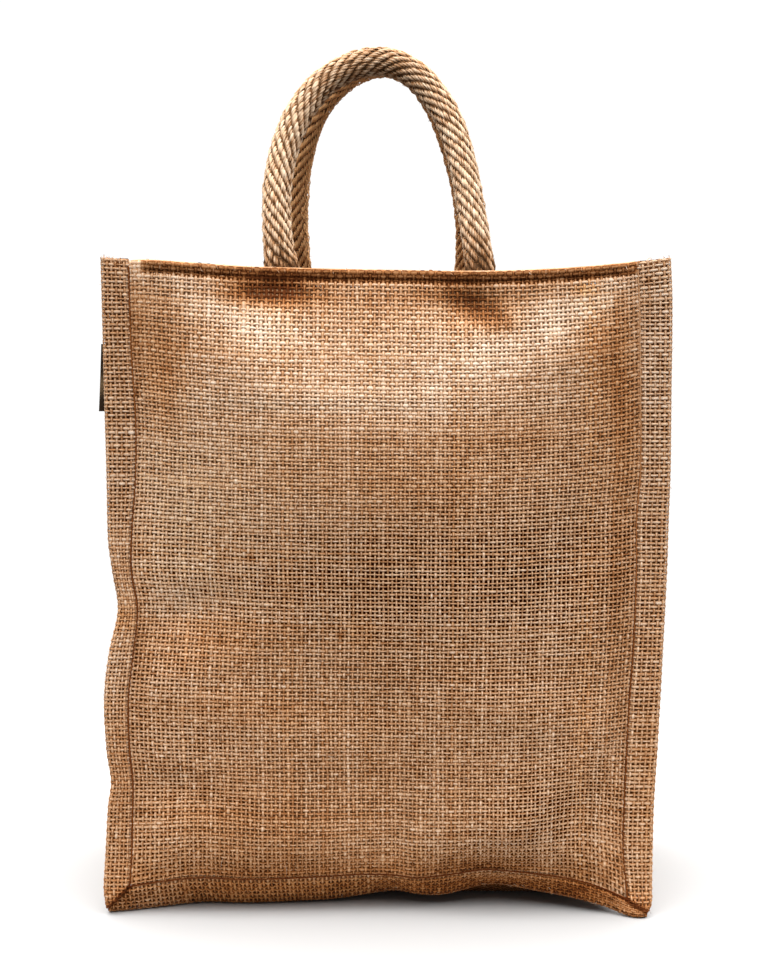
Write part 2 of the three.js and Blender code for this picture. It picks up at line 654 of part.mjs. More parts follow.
// A handle: flat feet inside the hem, a padded round arch, leaning to the middle of the bag
function handleGeometry(side, rows) {
  const numbered = rows.map((row, index) => ({ ...row, step: index }));
  const columns = {};
  for (const name of ["x", "z", "half", "thick"]) {
    columns[name] = curve(numbered, "step", name);
  }
  const footY = (x, z, half) => {
    const low = side.bottomSeam(x);
    const rise = Math.min(1, (z - low) / (side.topEdge(x) - low));
    const width = side.rightSeam(z) - side.leftSeam(z);
    const inward = [-half, 0, half].map((aside) => {
      const share = (x + aside - side.leftSeam(z)) / width;
      return -side.out * side.panelPoint(share, rise).y;
    });
    const hemFace = Math.max(...inward) + CLOTH / 2 + HEM_EXTRA;
    return -side.out * (hemFace + FOOT_GAP + FOOT_THICK);
  };
  const centre = (share) => {
    const step = share * (rows.length - 1);
    const x = columns.x(step);
    const z = columns.z(step);
    const lean = eased(z, HANDLE_LEAN_FROM - 20, HANDLE_LEAN_TO + 40);
    const straight = THREE.MathUtils.clamp(
      (z - HANDLE_LEAN_FROM) / (HANDLE_LEAN_TO - HANDLE_LEAN_FROM), 0, 1);
    const hemY = footY(x, z, columns.half(step));
    const y = mix(hemY, side.out * HANDLE_TOP_Y, mix(straight, lean, LEAN_SOFTNESS));
    return new THREE.Vector3(x, y, z);
  };
  const points = [];
  const nudge = 0.004;
  for (let step = 0; step <= HANDLE_STEPS; step += 1) {
    const share = step / HANDLE_STEPS;
    const middle = centre(share);
    const before = centre(Math.max(share - nudge, 0));
    const after = centre(Math.min(share + nudge, 1));
    const along = new THREE.Vector3().subVectors(after, before).normalize();
    const across = new THREE.Vector3(0, 1, 0).cross(along).normalize();
    const through = new THREE.Vector3().crossVectors(along, across);
    const half = columns.half(share * (rows.length - 1));
    const thick = columns.thick(share * (rows.length - 1));
    const roundness = eased(thick / half, 0.2, 0.9);
    const power = mix(2 / FOOT_CORNERS, 1, roundness);
    for (let corner = 0; corner < HANDLE_SIDES; corner += 1) {
      const angle = (2 * Math.PI * (corner + 0.5)) / HANDLE_SIDES;
      const cos = Math.cos(angle);
      const sin = Math.sin(angle);
      const wide = Math.sign(cos) * Math.abs(cos) ** power * half;
      const deep = Math.sign(sin) * Math.abs(sin) ** power * thick;
      points.push(middle.clone().addScaledVector(across, wide).addScaledVector(through, deep));
    }
  }
  const faces = [];
  for (let step = 0; step < HANDLE_STEPS; step += 1) {
    for (let corner = 0; corner < HANDLE_SIDES; corner += 1) {
      const next = (corner + 1) % HANDLE_SIDES;
      const a = step * HANDLE_SIDES + corner;
      const b = step * HANDLE_SIDES + next;
      faces.push([a, b, b + HANDLE_SIDES], [a, b + HANDLE_SIDES, a + HANDLE_SIDES]);
    }
  }
  const lastRing = HANDLE_STEPS * HANDLE_SIDES;
  for (let corner = 1; corner < HANDLE_SIDES - 1; corner += 1) {
    faces.push([0, corner + 1, corner]);
    faces.push([lastRing, lastRing + corner, lastRing + corner + 1]);
  }
  return outwards(closedMesh(points, faces));
}

// The label: a flat folded tape behind the left front binding, reaching just past its edge
function labelGeometry() {
  const grid = [LABEL.high, (LABEL.high + LABEL.low) / 2, LABEL.low].map((z, row) => {
    const edge = front.leftEdge(z) - LABEL.out - LABEL.slant * row;
    return [LABEL.inner, edge].map((x) => {
      const y = front.seamPlane(x, z) + LEAF_OUTSIDE + LAYER_GAP + TAPE / 2;
      return new THREE.Vector3(x, y, z);
    });
  });
  return outwards(sheet(grid, () => TAPE / 2));
}

// Materials
const fabric = (color) => new THREE.MeshStandardMaterial({ color, roughness: 0.95, metalness: 0 });
const JUTE = "#b48a5e";
const BINDING = "#ab8257";
const WEBBING = "#c9a87c";
const LABEL_TAPE = "#2e2a28";

const bag = new THREE.Group();
bag.name = "jute_tote_bag";
function add(name, geometry, color) {
  const mesh = new THREE.Mesh(geometry, fabric(color));
  mesh.name = name;
  bag.add(mesh);
}

add("front_panel", outwards(panelGeometry(front)), JUTE);
add("back_panel", outwards(panelGeometry(back)), JUTE);
add("gusset_strip", outwards(gussetGeometry()), JUTE);
for (const [name, side] of [["front", front], ["back", back]]) {
  const { left, right } = side.corners;
  add(`${name}_binding_left`, sideBinding(side, left, side.leftSeam, side.leftEdge), BINDING);
  add(`${name}_binding_bottom`, bottomBinding(side), BINDING);
  add(`${name}_binding_right`, sideBinding(side, right, side.rightSeam, side.rightEdge), BINDING);
}
add("front_handle", handleGeometry(front, FRONT_HANDLE), WEBBING);
add("back_handle", handleGeometry(back, BACK_HANDLE), WEBBING);
add("side_label", labelGeometry(), LABEL_TAPE);

// Stands the bag on the floor with the middle of its box over the origin
const box = new THREE.Box3().setFromObject(bag);
const middle = box.getCenter(new THREE.Vector3());
for (const mesh of bag.children) {
  mesh.geometry.translate(-middle.x, -middle.y, -box.min.z);
}

export default bag;
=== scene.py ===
# %% [markdown]
# # A jute tote bag, thread by thread
# The bag is coarse woven jute: two panels and a long gusset strip, sewn with their edges
# turned outwards into folded bindings, and two padded webbing handles. At this distance every
# yarn can be counted, so the cloth is made of real yarns that cross over and under each other.
# The frame below holds the plain solids, and each woven piece stands where its solid stands.

from math import pi, radians

import bpy
import numpy as np
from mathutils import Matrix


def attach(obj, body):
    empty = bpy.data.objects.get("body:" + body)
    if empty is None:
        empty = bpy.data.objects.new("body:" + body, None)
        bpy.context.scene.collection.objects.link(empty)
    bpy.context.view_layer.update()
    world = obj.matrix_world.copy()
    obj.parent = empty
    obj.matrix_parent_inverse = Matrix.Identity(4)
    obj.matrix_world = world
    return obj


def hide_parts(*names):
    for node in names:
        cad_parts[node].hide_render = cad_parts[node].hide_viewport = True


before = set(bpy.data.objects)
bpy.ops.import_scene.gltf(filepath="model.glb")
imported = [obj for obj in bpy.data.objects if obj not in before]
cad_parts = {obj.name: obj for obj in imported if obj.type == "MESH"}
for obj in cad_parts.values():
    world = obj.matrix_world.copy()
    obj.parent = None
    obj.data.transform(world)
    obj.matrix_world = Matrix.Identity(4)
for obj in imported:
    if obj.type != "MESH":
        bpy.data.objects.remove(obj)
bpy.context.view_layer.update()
TURN = 2 * pi
MILLIMETRE = 0.001
rng = np.random.default_rng(11)

# %% [markdown]
# ## The camera
# A camera can be placed by eye, but here the distance was found from how much smaller the back
# handle looks than the front one. It stands a metre in front of the bag at the height of the
# rim and looks down a little, so the mouth is seen almost edge on.

# %% Place the camera
CAMERA_PLACE = (0.0026, -1.068, 0.358)
CAMERA_PITCH = radians(90 - 6.9)
CAMERA_LENS = 69.54

camera_data = bpy.data.cameras.new("camera")
camera_data.lens = CAMERA_LENS
camera_data.clip_end = 50
camera = bpy.data.objects.new("camera", camera_data)
camera.location = CAMERA_PLACE
camera.rotation_euler = (CAMERA_PITCH, 0, 0)
bpy.context.scene.collection.objects.link(camera)
bpy.context.scene.camera = camera
print("camera lens:", CAMERA_LENS, "mm")

# %% [markdown]
# ## The shape of the bag
# A sewn edge wanders in and out, so it is drawn as a smooth curve through a short table, as a
# pattern cutter would note it: the height, the seam line and the outer edge of the binding.
# The tables are in millimetres, with the front facing -Y. A wandering seam only bends the yarns
# that lie near it, so the rows and columns straighten out towards the middle of the panel.

# %% Tables and curves
def table(names, *rows):
    """A small table, as one column of numbers for each name."""
    return dict(zip(names.split(), np.array(rows, dtype=float).T))


def curve(rows, along, value):
    """A smooth curve through one column of a table, held level past both ends."""
    places = rows[along]
    heights = rows[value]
    last = len(places) - 1
    count = np.arange(last + 1)
    before = np.maximum(count - 1, 0)
    after = np.minimum(count + 1, last)
    slopes = (heights[after] - heights[before]) / (places[after] - places[before])

    def at(place):
        held = np.clip(place, places[0], places[-1])
        step = np.clip(np.searchsorted(places, held) - 1, 0, last - 1)
        span = places[step + 1] - places[step]
        t = (held - places[step]) / span
        climb = (heights[step + 1] - heights[step]) * t * t * (3 - 2 * t)
        leave = t * (1 - t) ** 2 * span * slopes[step]
        arrive = t * t * (t - 1) * span * slopes[step + 1]
        return heights[step] + climb + leave + arrive

    return at


def mix(start, end, share):
    """The place a share of the way from start to end."""
    return start + (end - start) * share


def eased(value, start, end):
    """0 before start, 1 after end, and a soft step between them."""
    t = np.clip((value - start) / (end - start), 0, 1)
    return t * t * (3 - 2 * t)


def bell(value, middle, wide, power=2):
    """A soft bump: 1 at the middle, fading to 0 some way past its half width."""
    return np.exp(-(((value - middle) / wide) ** power))


def soft_spots(spots, x, z):
    """The sum of soft oval bumps: place, half length, half width, height and turn of each."""
    total = np.zeros(np.broadcast(x, z).shape)
    for spot_x, spot_z, long, wide, height, degrees in zip(*spots.values()):
        turn = radians(degrees)
        along = (x - spot_x) * np.cos(turn) + (z - spot_z) * np.sin(turn)
        across = (z - spot_z) * np.cos(turn) - (x - spot_x) * np.sin(turn)
        total = total + height * np.exp(-((along / long) ** 2) - (across / wide) ** 2)
    return total


# %% Sizes shared by the sewn pieces
CLOTH = 1.2
LAYER_GAP = 0.3
BODY_HEIGHT = 358
SEAM_PLANE = 70
SEAM_LEAN = 4
SEAM_WAVE = 1.2
SEAM_WAVE_LENGTH = 280
TUCK = 13
TUCK_POWER = 1.5
FLANGE_MIDDLE = LAYER_GAP / 2 + CLOTH / 2
LEFT_LINE = -137.5
RIGHT_LINE = 133.5
BOTTOM_LINE = 20
WANDER_IN = 45
WANDER_UP = 30
PLACES_ACROSS = np.array([0.1, 0.3, 0.5, 0.7, 0.9])
SWELL_COLUMNS = ["left", "left_middle", "middle", "right_middle", "right"]

# %% The front, as measured
FRONT_LEFT = table(
    "z seam edge",
    (0, -142.0, -155.5), (16, -141.4, -155.2), (36, -140.0, -153.7), (62, -139.0, -151.8),
    (75, -138.7, -150.0), (92, -140.2, -152.1), (120, -140.5, -153.1), (146, -137.6, -150.2),
    (170, -135.1, -145.0), (190, -138.0, -147.6), (207, -137.9, -149.7), (240, -135.2, -150.0),
    (270, -134.4, -150.3), (310, -136.2, -150.6), (358, -137.0, -151.0),
)
FRONT_RIGHT = table(
    "z seam edge",
    (0, 131.5, 144.6), (9, 132.1, 145.0), (36, 129.5, 144.9), (64, 129.6, 145.2),
    (90, 130.4, 146.5), (120, 131.6, 147.8), (150, 133.5, 149.0), (190, 134.6, 150.5),
    (220, 134.4, 151.0), (245, 136.0, 151.5), (285, 135.4, 151.2), (336, 134.0, 150.8),
    (358, 132.8, 149.6),
)
FRONT_BOTTOM = table(
    "x seam edge",
    (-155, 15.0, 0.0), (-141, 16.2, 1.4), (-124, 19.0, 3.7), (-103, 21.3, 6.3),
    (-79, 20.4, 6.0), (-54, 20.9, 6.9), (-31, 21.9, 8.0), (-12, 22.8, 10.8), (4, 22.2, 13.2),
    (16, 20.5, 11.0), (31, 21.9, 10.2), (53, 25.1, 15.8), (64, 24.6, 16.2), (80, 23.0, 13.0),
    (102, 19.7, 8.5), (118, 14.9, 4.2), (132, 9.1, 0.4), (145, 6.0, 0.0),
)
FRONT_TOP = table(
    "x z",
    (-137, 357.2), (-128, 357.4), (-105, 355.9), (-75, 353.9), (-46, 352.9), (7, 351.9),
    (50, 351.3), (92, 352.9), (123, 355.4), (134, 357.0),
)
FRONT_SWELL = table(
    "z left left_middle middle right_middle right",
    (10, 6, 7, 6, 8, 6), (45, 7, 9, 8, 11, 7), (95, 7, 9, 9, 12, 8), (145, 5, 10, 11, 12, 8),
    (195, 4, 11, 13, 13, 9), (240, 7, 13, 15, 14, 10), (280, 8, 12, 13, 12, 9),
    (318, 5, 4, 4, 4, 5), (345, 2, -3, -3, -4, 2), (358, 1, -6, -6, -7, 0),
)
FRONT_FOLDS = table(
    "x z long wide out turn",
    (-20, 279, 95, 6, -1.4, -1), (-58, 344, 14, 10, -3.0, 0), (47, 336, 14, 10, -3.0, 10),
    (-112, 168, 34, 15, -3.5, 12), (-118, 72, 30, 12, -2.5, -8), (-90, 118, 46, 16, 2.0, -14),
    (6, 42, 26, 12, -2.4, 80), (60, 46, 30, 16, 2.0, 65), (96, 78, 60, 14, 1.8, 52),
    (104, 210, 40, 18, -2.2, 70),
)
FRONT_CORNERS = table("seam_x seam_z tip_x", (-141.4, 16.2, -154.0), (132.1, 9.1, 142.5))

# %% The back, which the photograph hides
BACK_LEFT = table(
    "z seam edge",
    (0, -140.5, -154.0), (60, -139.5, -153.0), (130, -136.5, -150.5), (200, -138.0, -151.5),
    (280, -136.0, -150.5), (358, -136.5, -150.5),
)
BACK_RIGHT = table(
    "z seam edge",
    (0, 132.5, 146.0), (60, 131.5, 146.0), (130, 134.0, 149.0), (200, 133.0, 148.5),
    (280, 136.0, 151.0), (358, 134.0, 150.0),
)
BACK_BOTTOM = table(
    "x seam edge",
    (-155, 14.0, 0.0), (-110, 17.0, 3.0), (-50, 21.0, 7.5), (20, 22.5, 9.0), (80, 20.0, 6.5),
    (120, 16.0, 2.5), (145, 13.5, 0.0),
)
BACK_TOP = table(
    "x z",
    (-137, 356.0), (-120, 353.8), (-70, 350.2), (0, 348.4), (70, 348.2), (118, 351.4),
    (134, 354.6),
)
BACK_SWELL = table(
    "z left left_middle middle right_middle right",
    (10, 5, 7, 7, 6, 5), (90, 6, 9, 10, 9, 6), (180, 6, 11, 12, 10, 7), (260, 7, 12, 13, 12, 8),
    (318, 5, 5, 4, 5, 5), (358, 1, -6, -7, -6, 1),
)
BACK_FOLDS = table(
    "x z long wide out turn",
    (-56, 340, 14, 10, -2.6, 0), (50, 340, 14, 10, -2.6, 0), (-60, 110, 60, 18, 2.2, 38),
    (70, 200, 60, 18, -2.4, -30),
)
BACK_CORNERS = table("seam_x seam_z tip_x", (-140.3, 14.6, -153.0), (132.4, 14.6, 144.5))

# %% One sewn side
class SewnSide:
    """One face of the bag: its seams, swelling and folds. out is -1 for front, 1 for back."""

    def __init__(self, out, left, right, bottom, corners, top, swell, folds):
        self.out = out
        self.left = curve(left, "z", "seam")
        self.left_edge = curve(left, "z", "edge")
        self.right = curve(right, "z", "seam")
        self.right_edge = curve(right, "z", "edge")
        self.bottom = curve(bottom, "x", "seam")
        self.bottom_edge = curve(bottom, "x", "edge")
        self.corners = corners
        self.top = curve(top, "x", "z")
        self.folds = folds
        self.swells = [curve(swell, "z", name) for name in SWELL_COLUMNS]
        ones = np.eye(len(PLACES_ACROSS))
        columns = [dict(place=PLACES_ACROSS, swell=one) for one in ones]
        self.spread = [curve(column, "place", "swell") for column in columns]

    def plane(self, x, z):
        """Where the seam lies in depth."""
        lean = SEAM_LEAN * (z / BODY_HEIGHT) ** 2
        wave = SEAM_WAVE * np.sin(TURN * (z + x) / SEAM_WAVE_LENGTH)
        return self.out * (SEAM_PLANE - lean) + wave

    def point(self, share, rise):
        """A place on the panel: share runs from left to right seam, rise from bottom to top."""
        low_left, low_right = self.corners["seam_z"]
        left = self.left(mix(low_left, self.top(self.left(BODY_HEIGHT)), rise))
        right = self.right(mix(low_right, self.top(self.right(BODY_HEIGHT)), rise))
        span = RIGHT_LINE - LEFT_LINE
        x = LEFT_LINE + span * share
        x = x + (left - LEFT_LINE) * np.exp(-np.maximum(share, 0) * span / WANDER_IN)
        x = x + (right - RIGHT_LINE) * np.exp(-np.maximum(1 - share, 0) * span / WANDER_IN)
        z = mix(BOTTOM_LINE, self.top(x), rise)
        z = z + (self.bottom(x) - BOTTOM_LINE) * np.exp(-rise * BODY_HEIGHT / WANDER_UP)
        from_side = np.maximum(np.minimum(share, 1 - share) * (right - left), 0)
        from_bottom = np.maximum(z - self.bottom(x), 0)
        tuck = 1 - np.exp(-((from_side / TUCK) ** TUCK_POWER))
        tuck = tuck * (1 - np.exp(-((from_bottom / TUCK) ** TUCK_POWER)))
        swell = sum(height(z) * weight(share) for height, weight in zip(self.swells, self.spread))
        swell = swell + soft_spots(self.folds, x, z)
        y = self.plane(x, z) + self.out * (FLANGE_MIDDLE + swell * tuck)
        return np.stack(np.broadcast_arrays(x, y, z), axis=-1)


front = SewnSide(-1, FRONT_LEFT, FRONT_RIGHT, FRONT_BOTTOM, FRONT_CORNERS,
                 FRONT_TOP, FRONT_SWELL, FRONT_FOLDS)
back = SewnSide(1, BACK_LEFT, BACK_RIGHT, BACK_BOTTOM, BACK_CORNERS,
                BACK_TOP, BACK_SWELL, BACK_FOLDS)
print("middle of the front, in millimetres:", front.point(0.5, 0.5).round(1))

# %% [markdown]
# ## The hem
# The mouth of the bag is turned over once and sewn. A fold is easy to get wrong with a
# thickened sheet, because the weave has to run over the edge and down the inside. Here the
# cloth simply has more length than the panel is high: what is left over goes round a small
# half circle and down behind the panel.

# %% Turn a cloth over at its top
PANEL_WIDTH = 272
PANEL_LENGTH = 337
HEM_RADIUS = 0.9
HEM_INSIDE = 19
HEM_DROP = 1.2
NUDGE = 0.4
UP = np.array([0.0, 0.0, 1.0])


def unit(vectors):
    """The same directions, one long."""
    length = np.linalg.norm(vectors, axis=-1, keepdims=True)
    return vectors / np.maximum(length, 1e-9)


def outward_of(surface, across, along):
    """The direction that stands out of a cloth at each place."""
    sideways = surface(across + NUDGE, along) - surface(across - NUDGE, along)
    lengthways = surface(across, along + NUDGE) - surface(across, along - NUDGE)
    return unit(np.cross(sideways, lengthways))


def turned_over(surface, top, facing=1):
    """The same cloth with its end folded over at the length called top."""

    def folded(across, along):
        beyond = np.maximum(along - top, 0)
        angle = np.clip(beyond / HEM_RADIUS, 0, pi)
        down = np.maximum(beyond - pi * HEM_RADIUS, 0)
        level = np.where(beyond > 0, top - down, along)
        place = surface(across, level)
        outward = facing * outward_of(surface, across, np.minimum(level, top - 2 * NUDGE))
        inward = HEM_RADIUS * (1 - np.cos(angle))
        climb = HEM_RADIUS * np.sin(angle)
        return place - outward * inward[..., None] + UP * climb[..., None]

    return folded


# The sewn line just under the edge pulls the cloth in, and the rolled edge leans out over it
HEM_LINE = 5.6
HEM_LINE_WIDTH = 1.2
HEM_LINE_DEPTH = 1.3
HEM_ROLL = 1.0
HEM_ROLL_AT = 1.0
HEM_ROLL_WIDTH = 2.2


def hem_relief(depth):
    """How far the cloth stands out near its rolled edge, by depth below the edge."""
    line = HEM_LINE_DEPTH * bell(depth, HEM_LINE, HEM_LINE_WIDTH)
    roll = HEM_ROLL * bell(depth, HEM_ROLL_AT, HEM_ROLL_WIDTH)
    return roll - line


# Beside the left binding a short strip of the hem is not rolled, and a handle's foot flattens it
HEM_STARTS = (-131.5, -128.5)
HEM_FLAT_X = -61
HEM_FLAT_HALF = 18
HEM_FLAT_POWER = 4
HEM_FLAT_SHARE = 0.8


def hem_roll(x):
    """How much of the hem's relief is left at places across the bag."""
    flat = HEM_FLAT_SHARE * bell(x, HEM_FLAT_X, HEM_FLAT_HALF, HEM_FLAT_POWER)
    return eased(x, *HEM_STARTS) * (1 - flat)


# Small hollows under the handle feet, and the bulge that catches the light between them
FRONT_CREASES = table(
    "x z long wide out turn",
    (-60, 342, 19, 7.0, -1.8, 0), (49, 331, 17, 7.5, -2.2, 10), (-78, 305, 30, 17, 2.2, -25),
    (96, 308, 30, 16, 2.2, 20), (10, 312, 40, 18, 1.2, 0), (-121, 300, 10, 34, -2.0, 0),
    (-128, 238, 8, 24, -1.6, 0), (-20, 280, 100, 7, 1.2, -1), (122, 262, 9, 40, -1.6, 0),
    (-100, 140, 40, 12, 1.4, 14), (70, 118, 46, 14, 1.4, -10), (-30, 96, 50, 16, 1.2, 8),
)
BACK_CREASES = table(
    "x z long wide out turn",
    (-56, 344, 15, 6, -2.2, 0), (50, 344, 15, 6, -2.2, 0),
)
# The relief dies away over this share of the width beside the seams
RELIEF_FADE = 0.06


def panel_cloth(side, creases):
    """A panel as a cloth: millimetres across from one seam, millimetres up from the bottom."""

    def flat(across, along):
        share = across / PANEL_WIDTH
        if side.out > 0:
            share = 1 - share
        rise = along / PANEL_LENGTH
        place = side.point(share, np.maximum(rise, 0))
        relief = hem_relief((1 - rise) * PANEL_LENGTH) * hem_roll(place[..., 0])
        relief = relief + soft_spots(creases, place[..., 0], place[..., 2])
        relief = relief * eased(np.minimum(share, 1 - share), 0, RELIEF_FADE)
        place[..., 1] = place[..., 1] + side.out * relief
        return place

    return turned_over(flat, PANEL_LENGTH - HEM_DROP)


front_cloth = panel_cloth(front, FRONT_CREASES)
back_cloth = panel_cloth(back, BACK_CREASES)
middle_top = np.array([PANEL_WIDTH / 2, PANEL_LENGTH])
print("top of the front hem:", front_cloth(middle_top[:1], middle_top[1:]).round(1))

# %% [markdown]
# ## Weaving
# A weave can be painted on as a bump, but jute is open enough to see through. So each yarn is
# a narrow roof of two strips that rides over one crossing yarn and under the next. All yarns of
# one direction are joined into a single mesh from arrays, which is far quicker than one object
# for each. Real yarns are never even, so they stray, swell into slubs, and vary in tone.

# %% Uneven yarns
STRAY_LENGTHS = (23.0, 57.0, 141.0)
STRAY_STRETCHES = (0.75, 1.35)
SLUBS_PER_YARN = 2
SLUB_REACHES = (5, 26)
SLUB_SWELL = 0.11
THINNEST = 0.62
FATTEST = 1.7


def strays(yarns, places, size):
    """A slow unevenness for each yarn, at places along it."""
    total = np.zeros((yarns, len(places)))
    for length in STRAY_LENGTHS:
        start = rng.uniform(0, TURN, (yarns, 1))
        stretch = rng.uniform(*STRAY_STRETCHES, (yarns, 1))
        total += np.sin(TURN * places[None, :] / (length * stretch) + start)
    return size * total / len(STRAY_LENGTHS)


def fatness(yarns, places, spread):
    """How fat each yarn is along its length, with a few slubs."""
    fat = rng.normal(1, spread, (yarns, 1)) + strays(yarns, places, spread)
    for _ in range(SLUBS_PER_YARN):
        middle = rng.uniform(places[0], places[-1], (yarns, 1))
        reach = rng.uniform(*SLUB_REACHES, (yarns, 1))
        swell = rng.exponential(SLUB_SWELL, (yarns, 1))
        fat = fat + swell * bell(places[None, :], middle, reach)
    return np.clip(fat, THINNEST, FATTEST)


# %% From places to meshes
# From the middle of the tables to the middle of the part's box, where the frame has its origin
SHIFT = np.array([1.8236, 0.7246, 0.0])
# Yarns that lie on the floor are pressed flat against it
FLOOR_REST = 0.05


def mesh_piece(name, points, faces, material, columns=None):
    """A mesh object from arrays of points in millimetres and of four-cornered faces."""
    points[:, 2] = np.maximum(points[:, 2], FLOOR_REST)
    mesh = bpy.data.meshes.new(name)
    mesh.vertices.add(len(points))
    mesh.vertices.foreach_set("co", ((points + SHIFT) * MILLIMETRE).astype(np.float32).ravel())
    mesh.loops.add(faces.size)
    mesh.loops.foreach_set("vertex_index", faces.astype(np.int32).ravel())
    mesh.polygons.add(len(faces))
    starts = np.arange(len(faces), dtype=np.int32) * faces.shape[1]
    mesh.polygons.foreach_set("loop_start", starts)
    mesh.polygons.foreach_set("use_smooth", np.ones(len(faces), dtype=bool))
    mesh.update(calc_edges=True)
    for column, values in (columns or {}).items():
        values = np.asarray(values, dtype=np.float32)
        if values.ndim == 1:
            mesh.attributes.new(column, "FLOAT", "POINT").data.foreach_set("value", values)
        else:
            store = mesh.attributes.new(column, "FLOAT_VECTOR", "POINT")
            store.data.foreach_set("vector", values.ravel())
    mesh.materials.append(material)
    piece = bpy.data.objects.new(name, mesh)
    bpy.context.scene.collection.objects.link(piece)
    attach(piece, "root")
    return piece


def strip_faces(yarns, rings, width):
    """The faces of yarns that each have a number of rings, with a few points on each ring."""
    start = (np.arange(yarns)[:, None, None] * rings + np.arange(rings - 1)[None, :, None]) * width
    here = start + np.arange(width - 1)[None, None, :]
    ahead = here + width
    return np.stack([here, ahead, ahead + 1, here + 1], axis=-1).reshape(-1, 4)


def join(parts):
    """Several sets of points, faces and columns as one."""
    points = np.concatenate([part["points"] for part in parts])
    counts = np.cumsum([0] + [len(part["points"]) for part in parts[:-1]])
    faces = np.concatenate([part["faces"] + count for part, count in zip(parts, counts)])
    names = parts[0]["columns"]
    columns = {name: np.concatenate([part["columns"][name] for part in parts]) for name in names}
    return dict(points=points, faces=faces, columns=columns)


# %% Yarns as narrow roofs
RING_POINTS = 3
CROWN = 0.36
EAVES = 0.30
# Each yarn is painted darker along its edges, as shade, and paler along its crown, as a highlight
EDGE_TONE = -0.22
CROWN_PAINTED_HIGHLIGHT = 0.15
# Each yarn reads its own part of the fibre noise, this far from the last yarn's
FIBRE_APART = 3.7


def yarn_roofs(cloth, outward, across, along, lift, half, tone, warm, height=1.0):
    """Yarns laid on a cloth: every ring has a right edge, a crown and a left edge."""
    place = cloth(across, along)
    stand = outward_of(cloth, across, along) * outward
    run = unit(np.gradient(place, axis=1))
    aside = np.cross(stand, run) * half[..., None]
    eaves = place + stand * (lift - EAVES * height)[..., None]
    crown = place + stand * (lift + CROWN * height)[..., None]
    points = np.stack([eaves - aside, crown, eaves + aside], axis=2)
    yarns, rings = half.shape
    steps = np.linalg.norm(np.diff(place, axis=1), axis=-1)
    length = np.concatenate([np.zeros((yarns, 1)), np.cumsum(steps, axis=1)], axis=1)
    number = np.broadcast_to(np.arange(yarns)[:, None] * FIBRE_APART, half.shape)
    fibre = np.stack([
        np.repeat(length[..., None], RING_POINTS, axis=2),
        np.stack([-half, 0 * half, half], axis=2),
        np.repeat(number[..., None], RING_POINTS, axis=2),
    ], axis=-1)
    # Painted shade at both edges of a yarn and a painted highlight on its crown
    tones = tone[..., None] + np.array([EDGE_TONE, CROWN_PAINTED_HIGHLIGHT, EDGE_TONE])
    warms = np.repeat(warm[..., None], RING_POINTS, axis=2)
    columns = dict(tone=tones.ravel(), warm=warms.ravel(), fibre=fibre.reshape(-1, 3))
    faces = strip_faces(yarns, rings, RING_POINTS)
    return dict(points=points.reshape(-1, 3), faces=faces, columns=columns)


def rings_along(places, spread):
    """Ring places along yarns: one at each crossing, or two, a little before and after it."""
    if spread == 0:
        return places
    step = np.gradient(places, axis=1) * spread
    return np.stack([places - step, places + step], axis=2).reshape(len(places), -1)


# %% The weave itself
PITCH = 2.3
STRAY = 0.32
RING_SPREAD = 0.27
YARN_TONE = 0.02
YARN_SETS = dict(
    weft=dict(half=0.70, over=0.30, under=-0.34),
    warp=dict(half=0.71, over=0.38, under=-0.28),
)
# Each yarn differs from the next, and each float from the next along its yarn
FAT_SPREAD = 0.10
FLOAT_FAT_SPREAD = 0.13
TONE_SPREAD = 0.036
FLOAT_TONE_SPREAD = 0.045
WARM_SPREAD = 0.16
LEAD_LIFT = 1.6


def weave(cloth, outward, warps, wefts, fields, spread=0.0, droop=None,
          warp_warm=None, stray=STRAY):
    """The warp and the weft of a cloth. warps are places across it, wefts places along it."""
    across = warps[None, :] + strays(len(warps), wefts, stray).T
    along = wefts[:, None] + strays(len(wefts), warps, stray)
    if droop is not None:
        along = along + droop(across, along)
    over = (np.arange(len(wefts))[:, None] + np.arange(len(warps))[None, :]) % 2 == 0
    sets = {}
    each = 2 if spread else 1
    for name, sizes in YARN_SETS.items():
        is_weft = name == "weft"
        turn = (lambda grid: grid) if is_weft else np.transpose
        rings_across = rings_along(turn(across), spread)
        rings_up = rings_along(turn(along), spread)
        on_top = np.repeat(turn(over) == is_weft, each, axis=1)
        places = warps if is_weft else wefts
        yarns = len(on_top)
        fat = np.repeat(fatness(yarns, places, FAT_SPREAD), each, axis=1)
        uneven = np.repeat(rng.normal(0, 1, (yarns, len(places))), each, axis=1)
        fat = fat * (1 + FLOAT_FAT_SPREAD * uneven)
        place = cloth(rings_across, rings_up)
        field = fields(place)
        half = sizes["half"] * fat * (1 - field["open"])
        lead = field["lead"] if is_weft else -field["lead"]
        lift = np.where(on_top, sizes["over"] + LEAD_LIFT * lead, sizes["under"])
        tone = FLOAT_TONE_SPREAD * uneven + rng.normal(0, TONE_SPREAD, (yarns, 1))
        tone = tone + np.repeat(strays(yarns, places, TONE_SPREAD), each, axis=1)
        # A yarn that leads is also painted paler, and one that sinks darker, as light on the raised
        # rows
        tone = tone + field["tone"] + YARN_TONE + lead
        warm = np.abs(rng.normal(0, WARM_SPREAD, (yarns, 1))) + field["warm"]
        if warp_warm is not None and not is_weft:
            warm = warm + warp_warm(warps)[:, None]
        sets[name] = yarn_roofs(cloth, outward, rings_across, rings_up, lift, half, tone, warm)
    return sets


# %% Loose fibres
FIBRE_RINGS = 5
FIBRE_HALF = 0.10
FIBRE_HEIGHT = 0.2
FIBRE_BASE = 0.3
FIBRE_TONE = 0.1
FIBRE_TONE_SPREAD = 0.12
FIBRE_WARM_SPREAD = 0.2
FIBRE_SWAY = 0.5
FIBRE_BEND = 0.8
FIBRE_REACHES = (0.4, 1.3)
FIBRE_RISES = (0, 1.2)
FIBRE_RISE_POWER = 1.5
FIBRE_WIDTHS = (0.6, 1.3)
FIBRE_TAPER = 0.5


